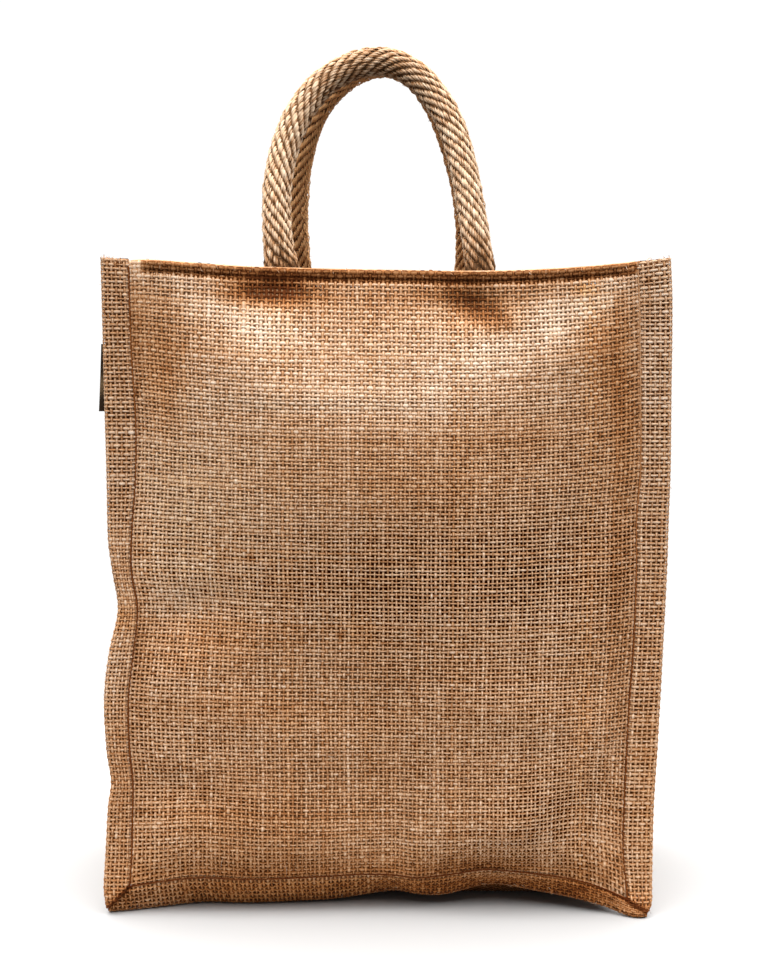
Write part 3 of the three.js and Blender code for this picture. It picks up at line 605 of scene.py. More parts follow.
def loose_fibres(cloth, outward, across, along, reach, lift,
                 tone=FIBRE_TONE, half=FIBRE_HALF, upward=False):
    """Hairs that stand off a cloth, one for each place, about reach long and lift high."""
    count = len(across)
    step = np.linspace(0, 1, FIBRE_RINGS)[None, :]
    one_each = (count, 1)
    heading = rng.normal(pi / 2, FIBRE_SWAY, one_each) if upward else rng.uniform(0, TURN, one_each)
    turn = heading + rng.normal(0, FIBRE_BEND, one_each) * step
    stride = reach * rng.uniform(*FIBRE_REACHES, one_each) / FIBRE_RINGS
    rise = FIBRE_BASE + lift * rng.uniform(*FIBRE_RISES, one_each) * step ** FIBRE_RISE_POWER
    thin = half * rng.uniform(*FIBRE_WIDTHS, one_each) * (1 - FIBRE_TAPER * step)
    tones = tone + rng.normal(0, FIBRE_TONE_SPREAD, one_each) + 0 * step
    warm = np.abs(rng.normal(0, FIBRE_WARM_SPREAD, one_each)) + 0 * step
    fibre_across = across[:, None] + np.cumsum(np.cos(turn) * stride, axis=1)
    fibre_along = along[:, None] + np.cumsum(np.sin(turn) * stride, axis=1)
    return yarn_roofs(cloth, outward, fibre_across, fibre_along, rise, thin, tones, warm, FIBRE_HEIGHT)


# %% [markdown]
# ## Jute yarn
# Raw jute is a golden brown fibre, dull and a little hairy. Its colour changes along each yarn
# and from yarn to yarn. The yarns carry their tone and warmth as columns in the mesh; the tone holds
# their own colour and also the light and shade painted on them. A fine noise, stretched along the
# yarn, adds the fibres to the colour and to the bump.

# %% Jute material
DULL = {
    "Specular IOR Level": 0.08, "Sheen Weight": 0.06, "Sheen Roughness": 0.6,
    "Sheen Tint": (1.0, 0.72, 0.48, 1),
}
# The noise is squeezed across the yarn and drawn out along it
FIBRE_STRETCH = (0.35, 5.0, 1.0)
FIBRE_NOISE = {"Scale": 1.0, "Detail": 3.0}
FIBRE_CONTRAST = {"From Min": 0.3, "From Max": 0.7}
STRAND_TONES = (0.32, 0.68)
FIBRE_BUMP = {"Strength": 0.5, "Distance": 0.0003}
# The shade between dark and middle is a deeper, redder middle
SHADE_AT = 0.25
MIDDLE_AT = 0.5
SHADE_SHARES = (0.625, 0.43, 0.25)


def set_sockets(node, values):
    """Sets sockets of a node by their names."""
    for socket, value in values.items():
        node.inputs[socket].default_value = value


def jute_material(name, dark, middle, pale, warm, rough, strand_tones=STRAND_TONES):
    """A spun jute finish from four colours."""
    material = bpy.data.materials.new(name)
    material.use_nodes = True
    nodes = material.node_tree.nodes
    links = material.node_tree.links
    shader = nodes["Principled BSDF"]
    set_sockets(shader, {"Roughness": rough, **DULL})

    columns = {}
    for column in ("fibre", "tone", "warm"):
        columns[column] = nodes.new("ShaderNodeAttribute")
        columns[column].name = column
        columns[column].attribute_name = column

    stretch = nodes.new("ShaderNodeVectorMath")
    stretch.operation = "MULTIPLY"
    stretch.inputs[1].default_value = FIBRE_STRETCH
    links.new(columns["fibre"].outputs["Vector"], stretch.inputs[0])
    strands = nodes.new("ShaderNodeTexNoise")
    set_sockets(strands, FIBRE_NOISE)
    links.new(stretch.outputs["Vector"], strands.inputs["Vector"])

    spread = nodes.new("ShaderNodeMapRange")
    set_sockets(spread, {**FIBRE_CONTRAST, "To Min": strand_tones[0], "To Max": strand_tones[1]})
    links.new(strands.outputs["Fac"], spread.inputs["Value"])
    level = nodes.new("ShaderNodeMath")
    level.name = "level"
    level.operation = "ADD"
    links.new(spread.outputs["Result"], level.inputs[0])
    links.new(columns["tone"].outputs["Fac"], level.inputs[1])

    ramp = nodes.new("ShaderNodeValToRGB")
    steps = ramp.color_ramp.elements
    steps[0].color = (*dark, 1)
    steps[1].color = (*pale, 1)
    steps.new(MIDDLE_AT).color = (*middle, 1)
    steps.new(SHADE_AT).color = (*(part * share for part, share in zip(middle, SHADE_SHARES)), 1)
    links.new(level.outputs["Value"], ramp.inputs["Fac"])

    golden = nodes.new("ShaderNodeMix")
    golden.data_type = "RGBA"
    golden.blend_type = "MULTIPLY"
    golden.inputs["B"].default_value = (*warm, 1)
    links.new(columns["warm"].outputs["Fac"], golden.inputs["Factor"])
    links.new(ramp.outputs["Color"], golden.inputs["A"])
    links.new(golden.outputs["Result"], shader.inputs["Base Color"])

    bump = nodes.new("ShaderNodeBump")
    set_sockets(bump, FIBRE_BUMP)
    links.new(strands.outputs["Fac"], bump.inputs["Height"])
    links.new(bump.outputs["Normal"], shader.inputs["Normal"])
    return material


JUTE_DARK = (0.085, 0.021, 0.003)
JUTE_MIDDLE = (0.54, 0.312, 0.168)
JUTE_PALE = (0.90, 0.765, 0.63)
JUTE_WARM = (1.0, 0.80, 0.53)
JUTE_COLOURS = (JUTE_DARK, JUTE_MIDDLE, JUTE_PALE, JUTE_WARM)
jute = jute_material("jute_yarn", *JUTE_COLOURS, rough=0.88)
print("materials:", [material.name for material in bpy.data.materials])

# %% [markdown]
# ## The two panels
# The front has places where the yarns have been pulled apart and the dark between them shows, rows
# that hang in shallow swags between the stiff corners, and a few golden warps. The light and shade
# of its folds is also painted into the tone of its yarns. These are soft spots on the cloth, so they
# are easy to move. The front weaves with two rings for each crossing, which gives flat-topped floats.
# The back, further from the eye, makes do with one.

# %% Where the front is open or golden, and the light and shade painted on it
OPEN_SPOTS = table(
    "x z long wide height turn",
    (-18, 190, 62, 26, 0.15, -6), (60, 200, 70, 34, 0.17, 4), (8, 138, 46, 22, 0.17, 0),
    (90, 160, 40, 60, 0.14, 0), (86, 64, 42, 22, 0.24, 20), (-28, 172, 40, 20, 0.10, 0),
    (0, 26, 150, 12, -0.10, 0), (-84, 70, 60, 34, 0.06, 0), (-133, 335, 6, 26, -0.4, 0),
    (0, 315, 170, 40, -0.15, 0),
)
# Painted light and shade: pale arms where the cloth leans back under the hem, dark hollows under the
# handle feet, darker valleys beside the seams, and darker towards the bottom
PAINTED_LIGHT_SPOTS = table(
    "x z long wide height turn",
    (-88, 334, 42, 11, 0.20, -26), (76, 320, 56, 14, 0.22, 28), (112, 337, 16, 8, 0.14, 28),
    (-18, 292, 74, 13, 0.07, 0), (20, 312, 46, 12, 0.08, 0), (-62, 320, 22, 9, 0.10, 0),
    (-6, 334, 30, 10, -0.02, 0), (-50, 275, 70, 2.2, -0.05, -1), (-4, 274, 34, 6, 0.05, 0),
    (-62, 341, 24, 7, -0.70, 0), (34, 340, 30, 6, -0.20, 0), (82, 343, 18, 5, -0.12, 8),
    (52, 330, 19, 8, -0.50, -28), (-118, 302, 14, 36, -0.18, 0), (-135, 320, 6, 24, -0.18, 0),
    (-133, 353, 5, 6, 0.08, 0), (119, 302, 12, 30, -0.14, 20), (125, 332, 8, 15, -0.12, 0),
    (126, 200, 9, 120, -0.17, 0), (128, 48, 8, 22, -0.12, 0), (-133, 150, 5, 120, -0.08, 0),
    (-108, 238, 42, 46, 0.14, 0), (-108, 190, 26, 22, 0.10, 0), (24, 232, 42, 18, -0.08, 0),
    (70, 264, 28, 9, -0.08, 0), (-92, 154, 46, 12, -0.13, 4), (-68, 117, 44, 10, -0.08, 0),
    (0, 60, 190, 110, -0.06, 0), (-76, 54, 60, 24, -0.12, 0), (-20, 281, 84, 8, 0.09, 0),
    (0, 23, 190, 8, -0.16, 0), (52, 27, 24, 6, -0.20, 0), (-84, 19, 60, 7, -0.10, 0),
)
# Warmer, redder spots: some are the cloth's own tint, and some redden the painted shade in the valleys
# beside the seams, in the hollow under the left handle's foot and along the bottom
WARM_SPOTS = table(
    "x z long wide height turn",
    (-120, 300, 12, 38, 0.35, 0), (122, 290, 13, 50, 0.40, 10), (0, 26, 190, 12, 0.35, 0),
    (104, 342, 7, 2.6, 0.9, 5), (-62, 344, 26, 9, 0.4, 0), (-16, 160, 10, 12, 0.35, 0),
    (0, 250, 140, 24, 0.15, 0), (-105, 215, 40, 44, 0.30, 0),
)
GOLDEN_WARPS = table("x wide warm", (-52, 3, 0.32), (-6, 3, 0.3), (39, 3, 0.35), (108, 2.5, 0.4))
SPECKS = table(
    "x z long wide height turn",
    (-25, 158, 1.5, 1.5, -0.5, 0), (-133, 288, 1.5, 3, -0.35, 0), (-73, 200, 1.5, 2, -0.3, 0),
)
MOST_OPEN = 0.4

# The hem is two cloths thick, so it is close. Its band is painted dark as the shade of the rolled
# edge, and darkest along the line of its stitches
HEM_CLOSE = -0.55
HEM_ENDS = (HEM_LINE - 0.5, HEM_LINE + 1.5)
HEM_PAINTED_SHADE = -0.38
HEM_LINE_TONE = -0.10


def hem_fields(side, x, z):
    """How much closer the cloth is at the hem, and the shade painted on it."""
    depth = side.top(x) - z
    in_hem = 1 - eased(depth, *HEM_ENDS)
    line = bell(depth, HEM_LINE, HEM_LINE_WIDTH)
    tone = HEM_PAINTED_SHADE * in_hem * eased(x, *HEM_STARTS) + HEM_LINE_TONE * line * hem_roll(x)
    return HEM_CLOSE * in_hem, tone


# Near the mouth the rows are packed closer and stand out more than the columns; they are painted
# a little paler and the columns a little darker, as light on the raised rows
WEFT_LEAD = 0.04
WEFT_LEAD_HEIGHTS = (225, 290)


def front_fields(place):
    """How open and golden the front is at each place, and the light and shade painted on it."""
    x = place[..., 0]
    z = place[..., 2]
    hem_open, hem_tone = hem_fields(front, x, z)
    opened = np.clip(soft_spots(OPEN_SPOTS, x, z), -MOST_OPEN, MOST_OPEN) + hem_open
    # The tone is the painted light and shade, a few dark specks, and the hem's painted shade
    tone = soft_spots(PAINTED_LIGHT_SPOTS, x, z) + soft_spots(SPECKS, x, z) + hem_tone
    lead = WEFT_LEAD * eased(z, *WEFT_LEAD_HEIGHTS)
    return dict(open=opened, tone=tone, warm=soft_spots(WARM_SPOTS, x, z), lead=lead)


def back_fields(place):
    """The back is even cloth with a hem."""
    x = place[..., 0]
    hem_open, hem_tone = hem_fields(back, x, place[..., 2])
    nothing = np.zeros_like(x)
    return dict(open=hem_open, tone=hem_tone, warm=nothing, lead=nothing)


def golden_warps(across):
    """Which warps of the front are golden."""
    x = across - PANEL_WIDTH / 2
    rows = zip(*GOLDEN_WARPS.values())
    return sum(warm * bell(x, middle, wide) for middle, wide, warm in rows)


# Rows sag between the corners, and ride up over the fold at the lower right
SWAG = 3.0
SWAG_POWER = 4
SWAG_BEGINS = (190, 285)
SWAG_ENDS = (290, 334)
FIRST_ROW = 18
DROOPS = table("x z long wide height turn", (112, 52, 26, 40, 5.0, 0), (-96, 46, 34, 30, 2.5, 0))


def front_droop(across, along):
    """How far the rows of the front are pulled up or down."""
    share = across / PANEL_WIDTH
    swag = -SWAG * (1 - np.abs(2 * share - 1) ** SWAG_POWER)
    swag = swag * eased(along, *SWAG_BEGINS) * (1 - eased(along, *SWAG_ENDS))
    return swag + soft_spots(DROOPS, across - PANEL_WIDTH / 2, along + FIRST_ROW)


# %% Weave the panels
WARPS = 117
WEFTS = 150
panel_warps = (np.arange(-1, WARPS + 1) + 0.5) * PANEL_WIDTH / WARPS
WEFT_PITCH = PANEL_LENGTH / WEFTS
HEM_LENGTH = HEM_INSIDE + pi * HEM_RADIUS
HEM_WEFTS = int(HEM_LENGTH / WEFT_PITCH)
panel_wefts = (np.arange(-1, WEFTS + HEM_WEFTS) + 0.5) * WEFT_PITCH

HEM_EDGE_HALF = 0.7
HEM_EDGE_LIFT = 0.3
HEM_EDGE_TONE = -0.12
HEM_EDGE_TONE_SPREAD = 0.1
HEM_EDGE_MARGIN = 2


def hem_edge(cloth):
    """The outermost yarn of a hem, which runs along the fold."""
    across = np.linspace(HEM_EDGE_MARGIN, PANEL_WIDTH - HEM_EDGE_MARGIN, WARPS)[None, :]
    nothing = np.zeros_like(across)
    crest = PANEL_LENGTH - HEM_DROP + HEM_RADIUS * pi / 2
    tone = HEM_EDGE_TONE + strays(1, across[0], HEM_EDGE_TONE_SPREAD)
    return yarn_roofs(cloth, 1, across, nothing + crest, nothing + HEM_EDGE_LIFT,
                      HEM_EDGE_HALF * fatness(1, across[0], FAT_SPREAD), tone, nothing)


PANEL_HAIRS = 260
HAIR_MARGIN = 8
RIM_HAIRS = 90
RIM_MARGIN = 4
hairs_across = rng.uniform(HAIR_MARGIN, PANEL_WIDTH - HAIR_MARGIN, PANEL_HAIRS)
hairs_along = rng.uniform(HAIR_MARGIN, PANEL_LENGTH - HAIR_MARGIN, PANEL_HAIRS)
front_hairs = loose_fibres(front_cloth, 1, hairs_across, hairs_along, reach=7, lift=1.2)
rim_across = rng.uniform(RIM_MARGIN, PANEL_WIDTH - RIM_MARGIN, RIM_HAIRS)
rim_along = PANEL_LENGTH - HEM_DROP + rng.uniform(0, HEM_RADIUS * pi, RIM_HAIRS)
rim_hairs = loose_fibres(front_cloth, 1, rim_across, rim_along, reach=2.5, lift=1.6)

front_sets = weave(front_cloth, 1, panel_warps, panel_wefts, front_fields, RING_SPREAD,
                   front_droop, golden_warps)
back_sets = weave(back_cloth, 1, panel_warps, panel_wefts, back_fields)
front_weft = mesh_piece("front_panel_weft", material=jute,
                        **join([front_sets["weft"], hem_edge(front_cloth), front_hairs, rim_hairs]))
front_warp = mesh_piece("front_panel_warp", material=jute, **front_sets["warp"])
back_panel = mesh_piece("back_panel_weave", material=jute,
                        **join([back_sets["weft"], back_sets["warp"], hem_edge(back_cloth)]))
PANEL_CUT = (0.300, 0.372)
YARN_SHARE = 0.75
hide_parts("front_panel")
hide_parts("back_panel")
yarn_area = PANEL_CUT[0] * PANEL_CUT[1] * YARN_SHARE
for piece, area in ((front_weft, yarn_area), (front_warp, yarn_area), (back_panel, None)):
    print(piece.name, len(piece.data.polygons) * 2, "triangles")

# %% [markdown]
# ## The inside of the cloth
# From above one can look into the mouth, and between the yarns of the front the eye meets the
# dark inner side of the cloth. Single yarns can't be made out there, so the inner face of each panel
# and of the gusset is one bent sheet close behind the yarns, and two fine waves in its material draw
# the rows and columns. The sheet closes the gaps between the yarns, and its dark colour is painted
# shade of the inside of the bag, deeper in a few patches and painted lighter towards the mouth.

# %% The inner face of a cloth
INSIDE_DEPTH = 1.0
INSIDE_STEP = 4.5
INSIDE_SIDE_MARGIN = 0.5
INSIDE_END_MARGIN = 1.0
# The inside sheets are painted in dark colours, as the shade inside the bag
INSIDE_PAINTED_SHADE_COLOURS = ((0.026, 0.0050, 0.0006), (0.105, 0.030, 0.005), (0.42, 0.225, 0.11))
INSIDE_SHADE = table(
    "x z long wide height turn",
    (10, 178, 90, 26, -0.50, 0), (60, 195, 60, 34, -0.35, 0), (86, 60, 46, 24, -0.20, 20),
)
INSIDE_TONE = -0.09
# Towards the mouth the inside is painted lighter, as the light that falls in there
MOUTH_PAINTED_LIGHT = 0.36
MOUTH_LIGHT = (190, 345)
inside_shaded_jute = jute_material("jute_inside_painted_shade", *INSIDE_PAINTED_SHADE_COLOURS, JUTE_WARM, rough=1.0)
inside_shader = inside_shaded_jute.node_tree.nodes["Principled BSDF"]
set_sockets(inside_shader, {"Specular IOR Level": 0.0, "Sheen Weight": 0.0})
# A wave texture of scale 1 has one band in this length
WAVE_LENGTH = 0.314
WAVE_TONE = 0.20
WEAVE_WAVE = {"Scale": WAVE_LENGTH / PITCH, "Distortion": 0.8, "Detail": 1.0}


def draw_weave(material):
    """Draws rows and columns of yarn on a plain sheet, as two fine waves."""
    nodes = material.node_tree.nodes
    links = material.node_tree.links
    ramp = nodes["Color Ramp"]
    level = nodes["level"]
    for direction in ("X", "Y"):
        wave = nodes.new("ShaderNodeTexWave")
        wave.bands_direction = direction
        set_sockets(wave, WEAVE_WAVE)
        links.new(nodes["fibre"].outputs["Vector"], wave.inputs["Vector"])
        rows = nodes.new("ShaderNodeMath")
        rows.operation = "MULTIPLY_ADD"
        rows.inputs[1].default_value = WAVE_TONE
        links.new(wave.outputs["Fac"], rows.inputs[0])
        links.new(level.outputs["Value"], rows.inputs[2])
        level = rows
    links.new(level.outputs["Value"], ramp.inputs["Fac"])


draw_weave(inside_shaded_jute)


def add_inside(name, cloth, width, length):
    """A sheet just inside a cloth, with its weave drawn on it and its shade painted on."""
    columns = int(width / INSIDE_STEP)
    rows = int(length / INSIDE_STEP)
    across, along = np.meshgrid(
        np.linspace(INSIDE_SIDE_MARGIN, width - INSIDE_SIDE_MARGIN, columns),
        np.linspace(INSIDE_END_MARGIN, length - INSIDE_END_MARGIN, rows))
    points = cloth(across, along) - outward_of(cloth, across, along) * INSIDE_DEPTH
    points = points.reshape(-1, 3)
    woven = np.stack([across, along, 0 * along], axis=-1)
    count = len(points)
    # Painted shade inside the bag, deeper in patches and lighter towards the mouth
    shade = INSIDE_TONE + soft_spots(INSIDE_SHADE, points[:, 0], points[:, 2])
    shade = shade + MOUTH_PAINTED_LIGHT * eased(points[:, 2], *MOUTH_LIGHT)
    piece = mesh_piece(name, points, strip_faces(1, rows, columns), inside_shaded_jute,
                       dict(tone=shade, warm=np.zeros(count), fibre=woven.reshape(-1, 3)))
    print(name, rows * columns, "places")


# At the mouth the hem itself is the inner face, so the sheets end behind it
for name, cloth, behind in (("back_panel_inside", back_cloth, "back_panel_weave"),
                            ("front_panel_inside", front_cloth, "front_panel_weft")):
    add_inside(name, cloth, PANEL_WIDTH, PANEL_LENGTH - HEM_INSIDE / 2)

# %% [markdown]
# ## The gusset
# One long strip makes both sides and the bottom. A bag is a shell that sags, so its side walls
# dip in between the seams and its bottom drops until it lies on the table. The strip is drawn
# as a grid of places from the front seam to the back seam, and then smoothed.

# %% The path of each seam
CORNER_ROUND = 7
CORNER_ANGLES = (15, 45, 75)
SIDE_STEPS = 26
BOTTOM_STEPS = 20
CORNER_CLEAR = CORNER_ROUND + 2
# The heights of the left and right bindings: the front is -1, the back 1
SIDE_TOPS = {-1: (359.6, 359.6), 1: (356.0, 354.0)}
SEAM_BELOW_TOP = 2.6


def corner_steps(side, end, way, angles):
    """Places round one bottom corner of a seam. way is -1 at the left and 1 at the right."""
    seam_x = side.corners["seam_x"][end]
    seam_z = side.corners["seam_z"][end]
    steps = []
    for degrees in angles:
        angle = radians(degrees)
        out_x = way * np.cos(angle)
        out_z = -np.sin(angle)
        x = seam_x - way * CORNER_ROUND + CORNER_ROUND * out_x
        climb = (side.bottom(x) - seam_z) * np.sin(angle)
        steps.append((x, seam_z + CORNER_ROUND * (1 + out_z) + climb, out_x, out_z))
    return steps


def seam_path(side):
    """Places along a seam: down the left side, under the bag and up the right side."""
    left_top, right_top = (top - SEAM_BELOW_TOP for top in SIDE_TOPS[side.out])
    left_x, right_x = side.corners["seam_x"]
    left_z, right_z = side.corners["seam_z"]
    steps = []
    for z in np.linspace(left_top, left_z + CORNER_CLEAR, SIDE_STEPS):
        steps.append((side.left(z), z, -1, 0))
    steps += corner_steps(side, 0, -1, CORNER_ANGLES)
    for x in np.linspace(left_x + CORNER_CLEAR, right_x - CORNER_CLEAR, BOTTOM_STEPS):
        steps.append((x, side.bottom(x), 0, -1))
    steps += corner_steps(side, 1, 1, CORNER_ANGLES[::-1])
    for z in np.linspace(right_z + CORNER_CLEAR, right_top, SIDE_STEPS):
        steps.append((side.right(z), z, 1, 0))
    return table("x z out_x out_z", *steps)


# %% The sagging strip
CURL = table("out inward", (2.2, FLANGE_MIDDLE), (0.2, 1.3), (-0.5, 3.5))
WALL_COLUMNS = 12
SIDE_DIP = 9
MOUTH_SAG = 7
MOUTH_SAG_FROM = 270
BOTTOM_REST = 0.75
BOTTOM_FADE = 34
BOTTOM_FLAT_SHARE = 0.24


def edge_places(side, path, out, inward):
    """Places beside a seam, at a distance out of the bag and inwards from the seam's plane."""
    x = path["x"] + path["out_x"] * out
    z = path["z"] + path["out_z"] * out
    return np.stack([x, side.plane(x, z) - side.out * inward, z], axis=-1)


def gusset_grid():
    """The strip as rows along the seam and columns from the front to the back."""
    front_path = seam_path(front)
    back_path = seam_path(back)
    curls = list(zip(*CURL.values()))
    columns = [edge_places(front, front_path, *curl) for curl in curls]
    ends = [edge_places(back, back_path, *curl) for curl in reversed(curls)]
    on_side = np.abs(front_path["out_x"])
    left_x, right_x = FRONT_CORNERS["seam_x"]
    for share in np.arange(1, WALL_COLUMNS) / WALL_COLUMNS:
        place = mix(columns[len(curls) - 1], ends[0], share)
        x = place[:, 0]
        z = place[:, 2]
        bow = np.sin(pi * share)
        arch = min(1, bow / np.sin(pi * BOTTOM_FLAT_SHARE))
        from_corner = np.minimum(x - left_x, right_x - x)
        sag = eased(from_corner, 0, BOTTOM_FADE) * arch * (1 - on_side)
        mouth = MOUTH_SAG * bow * eased(z, MOUTH_SAG_FROM, BODY_HEIGHT)
        x = x - front_path["out_x"] * SIDE_DIP * bow * on_side
        columns.append(np.stack([x, place[:, 1], mix(z, BOTTOM_REST, sag) - mouth], axis=-1))
    return np.stack(columns + ends, axis=1)


# %% A cloth through a grid of places
FINE = 1.0


def smooth_rows(places, values, wanted):
    """Values at wanted places, by smooth curves through rows of values."""
    columns = values.reshape(len(places), -1).T
    lines = [curve(dict(place=places, value=line), "place", "value")(wanted) for line in columns]
    return np.array(lines).T.reshape(len(wanted), *values.shape[1:])


def grid_cloth(grid):
    """A smooth cloth through a grid, and its width and length in millimetres."""
    down = np.linalg.norm(np.diff(grid, axis=0), axis=-1).mean(axis=1)
    over = np.linalg.norm(np.diff(grid, axis=1), axis=-1).mean(axis=0)
    rows = np.concatenate([[0], np.cumsum(down)])
    columns = np.concatenate([[0], np.cumsum(over)])
    fine_rows = np.linspace(0, rows[-1], int(rows[-1] / FINE))
    fine_columns = np.linspace(0, columns[-1], int(columns[-1] / FINE))
    fine = smooth_rows(rows, grid, fine_rows)
    fine = smooth_rows(columns, fine.swapaxes(0, 1), fine_columns).swapaxes(0, 1)

    def cloth(across, along):
        p = across / fine_columns[1]
        q = along / fine_rows[1]
        i = np.clip(np.floor(q).astype(int), 0, len(fine_rows) - 2)
        j = np.clip(np.floor(p).astype(int), 0, len(fine_columns) - 2)
        s = (p - j)[..., None]
        t = (q - i)[..., None]
        near = mix(fine[i, j], fine[i, j + 1], s)
        far = mix(fine[i + 1, j], fine[i + 1, j + 1], s)
        return mix(near, far, t)

    return cloth, columns[-1], rows[-1]


# %% Weave the gusset
gusset_flat, gusset_width, gusset_length = grid_cloth(gusset_grid())
right_hemmed = turned_over(gusset_flat, gusset_length - HEM_DROP)
left_hemmed = turned_over(lambda across, along: right_hemmed(across, gusset_length - along),
                          gusset_length - HEM_DROP, -1)


def gusset_cloth(across, along):
    """The strip with both its ends turned over at the mouth."""
    return left_hemmed(across, gusset_length - along)


GUSSET_MARGIN = 0.8
gusset_warps = np.linspace(GUSSET_MARGIN, gusset_width - GUSSET_MARGIN, int(gusset_width / PITCH))
gusset_wefts = np.arange(-HEM_LENGTH, gusset_length + HEM_LENGTH, PITCH)
# The bottom of the gusset is painted dark, as the shade under the bag
UNDERSIDE_PAINTED_SHADE = -0.45
UNDERSIDE_HEIGHTS = (8, 24)


def gusset_fields(place):
    """The underside of the bag is painted dark, as shade."""
    nothing = np.zeros(place.shape[:-1])
    under = 1 - eased(place[..., 2], *UNDERSIDE_HEIGHTS)
    return dict(open=nothing, tone=UNDERSIDE_PAINTED_SHADE * under, warm=nothing, lead=nothing)


gusset_sets = weave(gusset_cloth, 1, gusset_warps, gusset_wefts, gusset_fields)
gusset_weft = mesh_piece("gusset_weft", material=jute, **gusset_sets["weft"])
gusset_warp = mesh_piece("gusset_warp", material=jute, **gusset_sets["warp"])
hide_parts("gusset_strip")
add_inside("gusset_inside", gusset_cloth, gusset_width, gusset_length)
print("gusset:", round(gusset_width), "by", round(gusset_length), "mm, between the seams")

# %% [markdown]
# ## The bindings
# A folded strip of the same jute wraps each sewn edge. A flat ribbon would show no fold, so
# each binding is a cloth that starts turned under at the seam, runs out over the front leaf,
# round the fold and back along the rear leaf. The seam allowances inside it fill the gaps between
# the yarns, and are painted dark as the shade inside the fold.

# %% Where each binding lies
MITRE_RISE = 3.5
# How far past the mitre line a binding is kept: a side binding is 1, a bottom binding -1
MITRE_OVERLAP = {1: 0.6, -1: 3.0}
LEAF = 11.5
BEND = 6.9
BACK_LEAF = 9.2
GIRTH = LEAF + BEND + BACK_LEAF
LEAF_START = 0.8
BACK_LEAF_START = 3.2
BEND_DEPTH = 2.0
LEAF_MIDDLE = 2.15
LEAF_PAST = 0.1
TURNED_UNDER = (-1.2, 0.6)
PRESSED = 2.5
PRESSED_SHARE = 0.96
FLOOR_CLEAR = 0.4
# The tops of the side bindings, left and right, slant down to the hem
TOP_SLANTS = (0.8, 2.4)
SLANT_FROM = 320


def side_rail(side, end, seam, edge):
    """The inner and outer edge of a side binding, by millimetres up from the bottom."""
    seam_low = side.corners["seam_z"][end]
    tip_x = side.corners["tip_x"][end]

    def rail(along):
        z = along + FLOOR_CLEAR
        tip = 1 - eased(z, 0, seam_low)
        slant = TOP_SLANTS[end] * eased(z, SLANT_FROM, BODY_HEIGHT)
        return seam(z), z - slant, mix(edge(z), tip_x, tip), z

    return rail


def bottom_rail(side):
    """The inner and outer edge of a bottom binding, by millimetres from its left tip."""
    tip_left = side.corners["tip_x"][0]

    def rail(along):
        x = tip_left + along
        return x, side.bottom(x), x, side.bottom_edge(x) + FLOOR_CLEAR

    return rail


def rail_width(rail, along):
    """How wide a binding is, at places along it."""
    seam_x, seam_z, edge_x, edge_z = rail(along)
    return np.hypot(edge_x - seam_x, edge_z - seam_z)


# The bottom binding hangs under the belly of the panel, tilted back towards the floor. Left of
# the middle of the front it is folded further back, until its edge nearly rests on the floor
BOTTOM_TILT = 0.26
TUCKED_UNDER = curve(
    table("x share", (-152, 0.5), (-136, 0.85), (-40, 0.9), (14, 0.45), (92, 0.2), (118, 0.0)),
    "x", "share")
TUCK_SLOPE = 0.353
# The front's right corner curls forward
CORNER_CURL = table("x z long wide height turn", (137, -3, 11, 11, 8.0, 0))


def beside_seam(side, rail, along, reach, out):
    """Places at a reach from the seam towards the binding's edge, and out from its plane."""
    seam_x, seam_z, edge_x, edge_z = rail(along)
    part = reach / rail_width(rail, along)
    x = mix(seam_x, edge_x, part)
    z = mix(seam_z, edge_z, part)
    back_tilt = BOTTOM_TILT * (seam_z - z)
    if side is front:
        sunk = part * (edge_z - FLOOR_CLEAR) * TUCKED_UNDER(x) * (seam_z > edge_z)
        z = z - sunk
        back_tilt = back_tilt + sunk / TUCK_SLOPE - soft_spots(CORNER_CURL, x, z)
    return np.stack([x, side.plane(x, z) + side.out * (out - back_tilt), z], axis=-1)


# %% Cut the mitres
def past_mitre(side, end, points):
    """How far places lie past a corner's mitre line, towards the side binding."""
    seam_x = side.corners["seam_x"][end]
    seam_z = side.corners["seam_z"][end]
    run = np.array([side.corners["tip_x"][end] - seam_x, MITRE_RISE - seam_z])
    way = np.sign(run[0])
    run = unit(run)
    from_x = points[:, 0] - seam_x
    from_z = points[:, 2] - seam_z
    return way * (run[0] * from_z - run[1] * from_x)


def cut(part, keep):
    """Only the faces whose corners are all kept, and the points that they need."""
    faces = part["faces"][keep[part["faces"]].all(axis=1)]
    used = np.unique(faces)
    place_of = np.zeros(len(keep), dtype=int)
    place_of[used] = np.arange(len(used))
    columns = {name: values[used] for name, values in part["columns"].items()}
    return dict(points=part["points"][used], faces=place_of[faces], columns=columns)


# %% A binding as a cloth
def binding_cloth(side, rail, length, pressed_end):
    """A folded strip: millimetres around it from the seam, millimetres along it."""

    def cloth(around, along):
        fold = np.clip((around - LEAF) / BEND, 0, 1) * pi
        back_share = np.clip((around - LEAF - BEND) / BACK_LEAF, 0, 1 + LEAF_PAST)
        front_share = np.clip(around / LEAF, -LEAF_PAST, 1)
        edge_tuck = eased(around, *TURNED_UNDER)
        edge_tuck = edge_tuck * eased(GIRTH - around, *TURNED_UNDER)
        out = mix(FLANGE_MIDDLE, LEAF_MIDDLE, edge_tuck) * np.cos(fold)
        if pressed_end:
            past = np.clip((along - length + PRESSED) / PRESSED, 0, 1)
            out = out * np.sqrt(1 - PRESSED_SHARE * past * past)
        inner = rail_width(rail, along) - BEND_DEPTH
        leaf = mix(LEAF_START, inner, front_share)
        rear = mix(inner, BACK_LEAF_START, back_share)
        reach = np.where(around > LEAF + BEND / 2, rear, leaf) + BEND_DEPTH * np.sin(fold)
        return beside_seam(side, rail, along, reach, out)

    return cloth


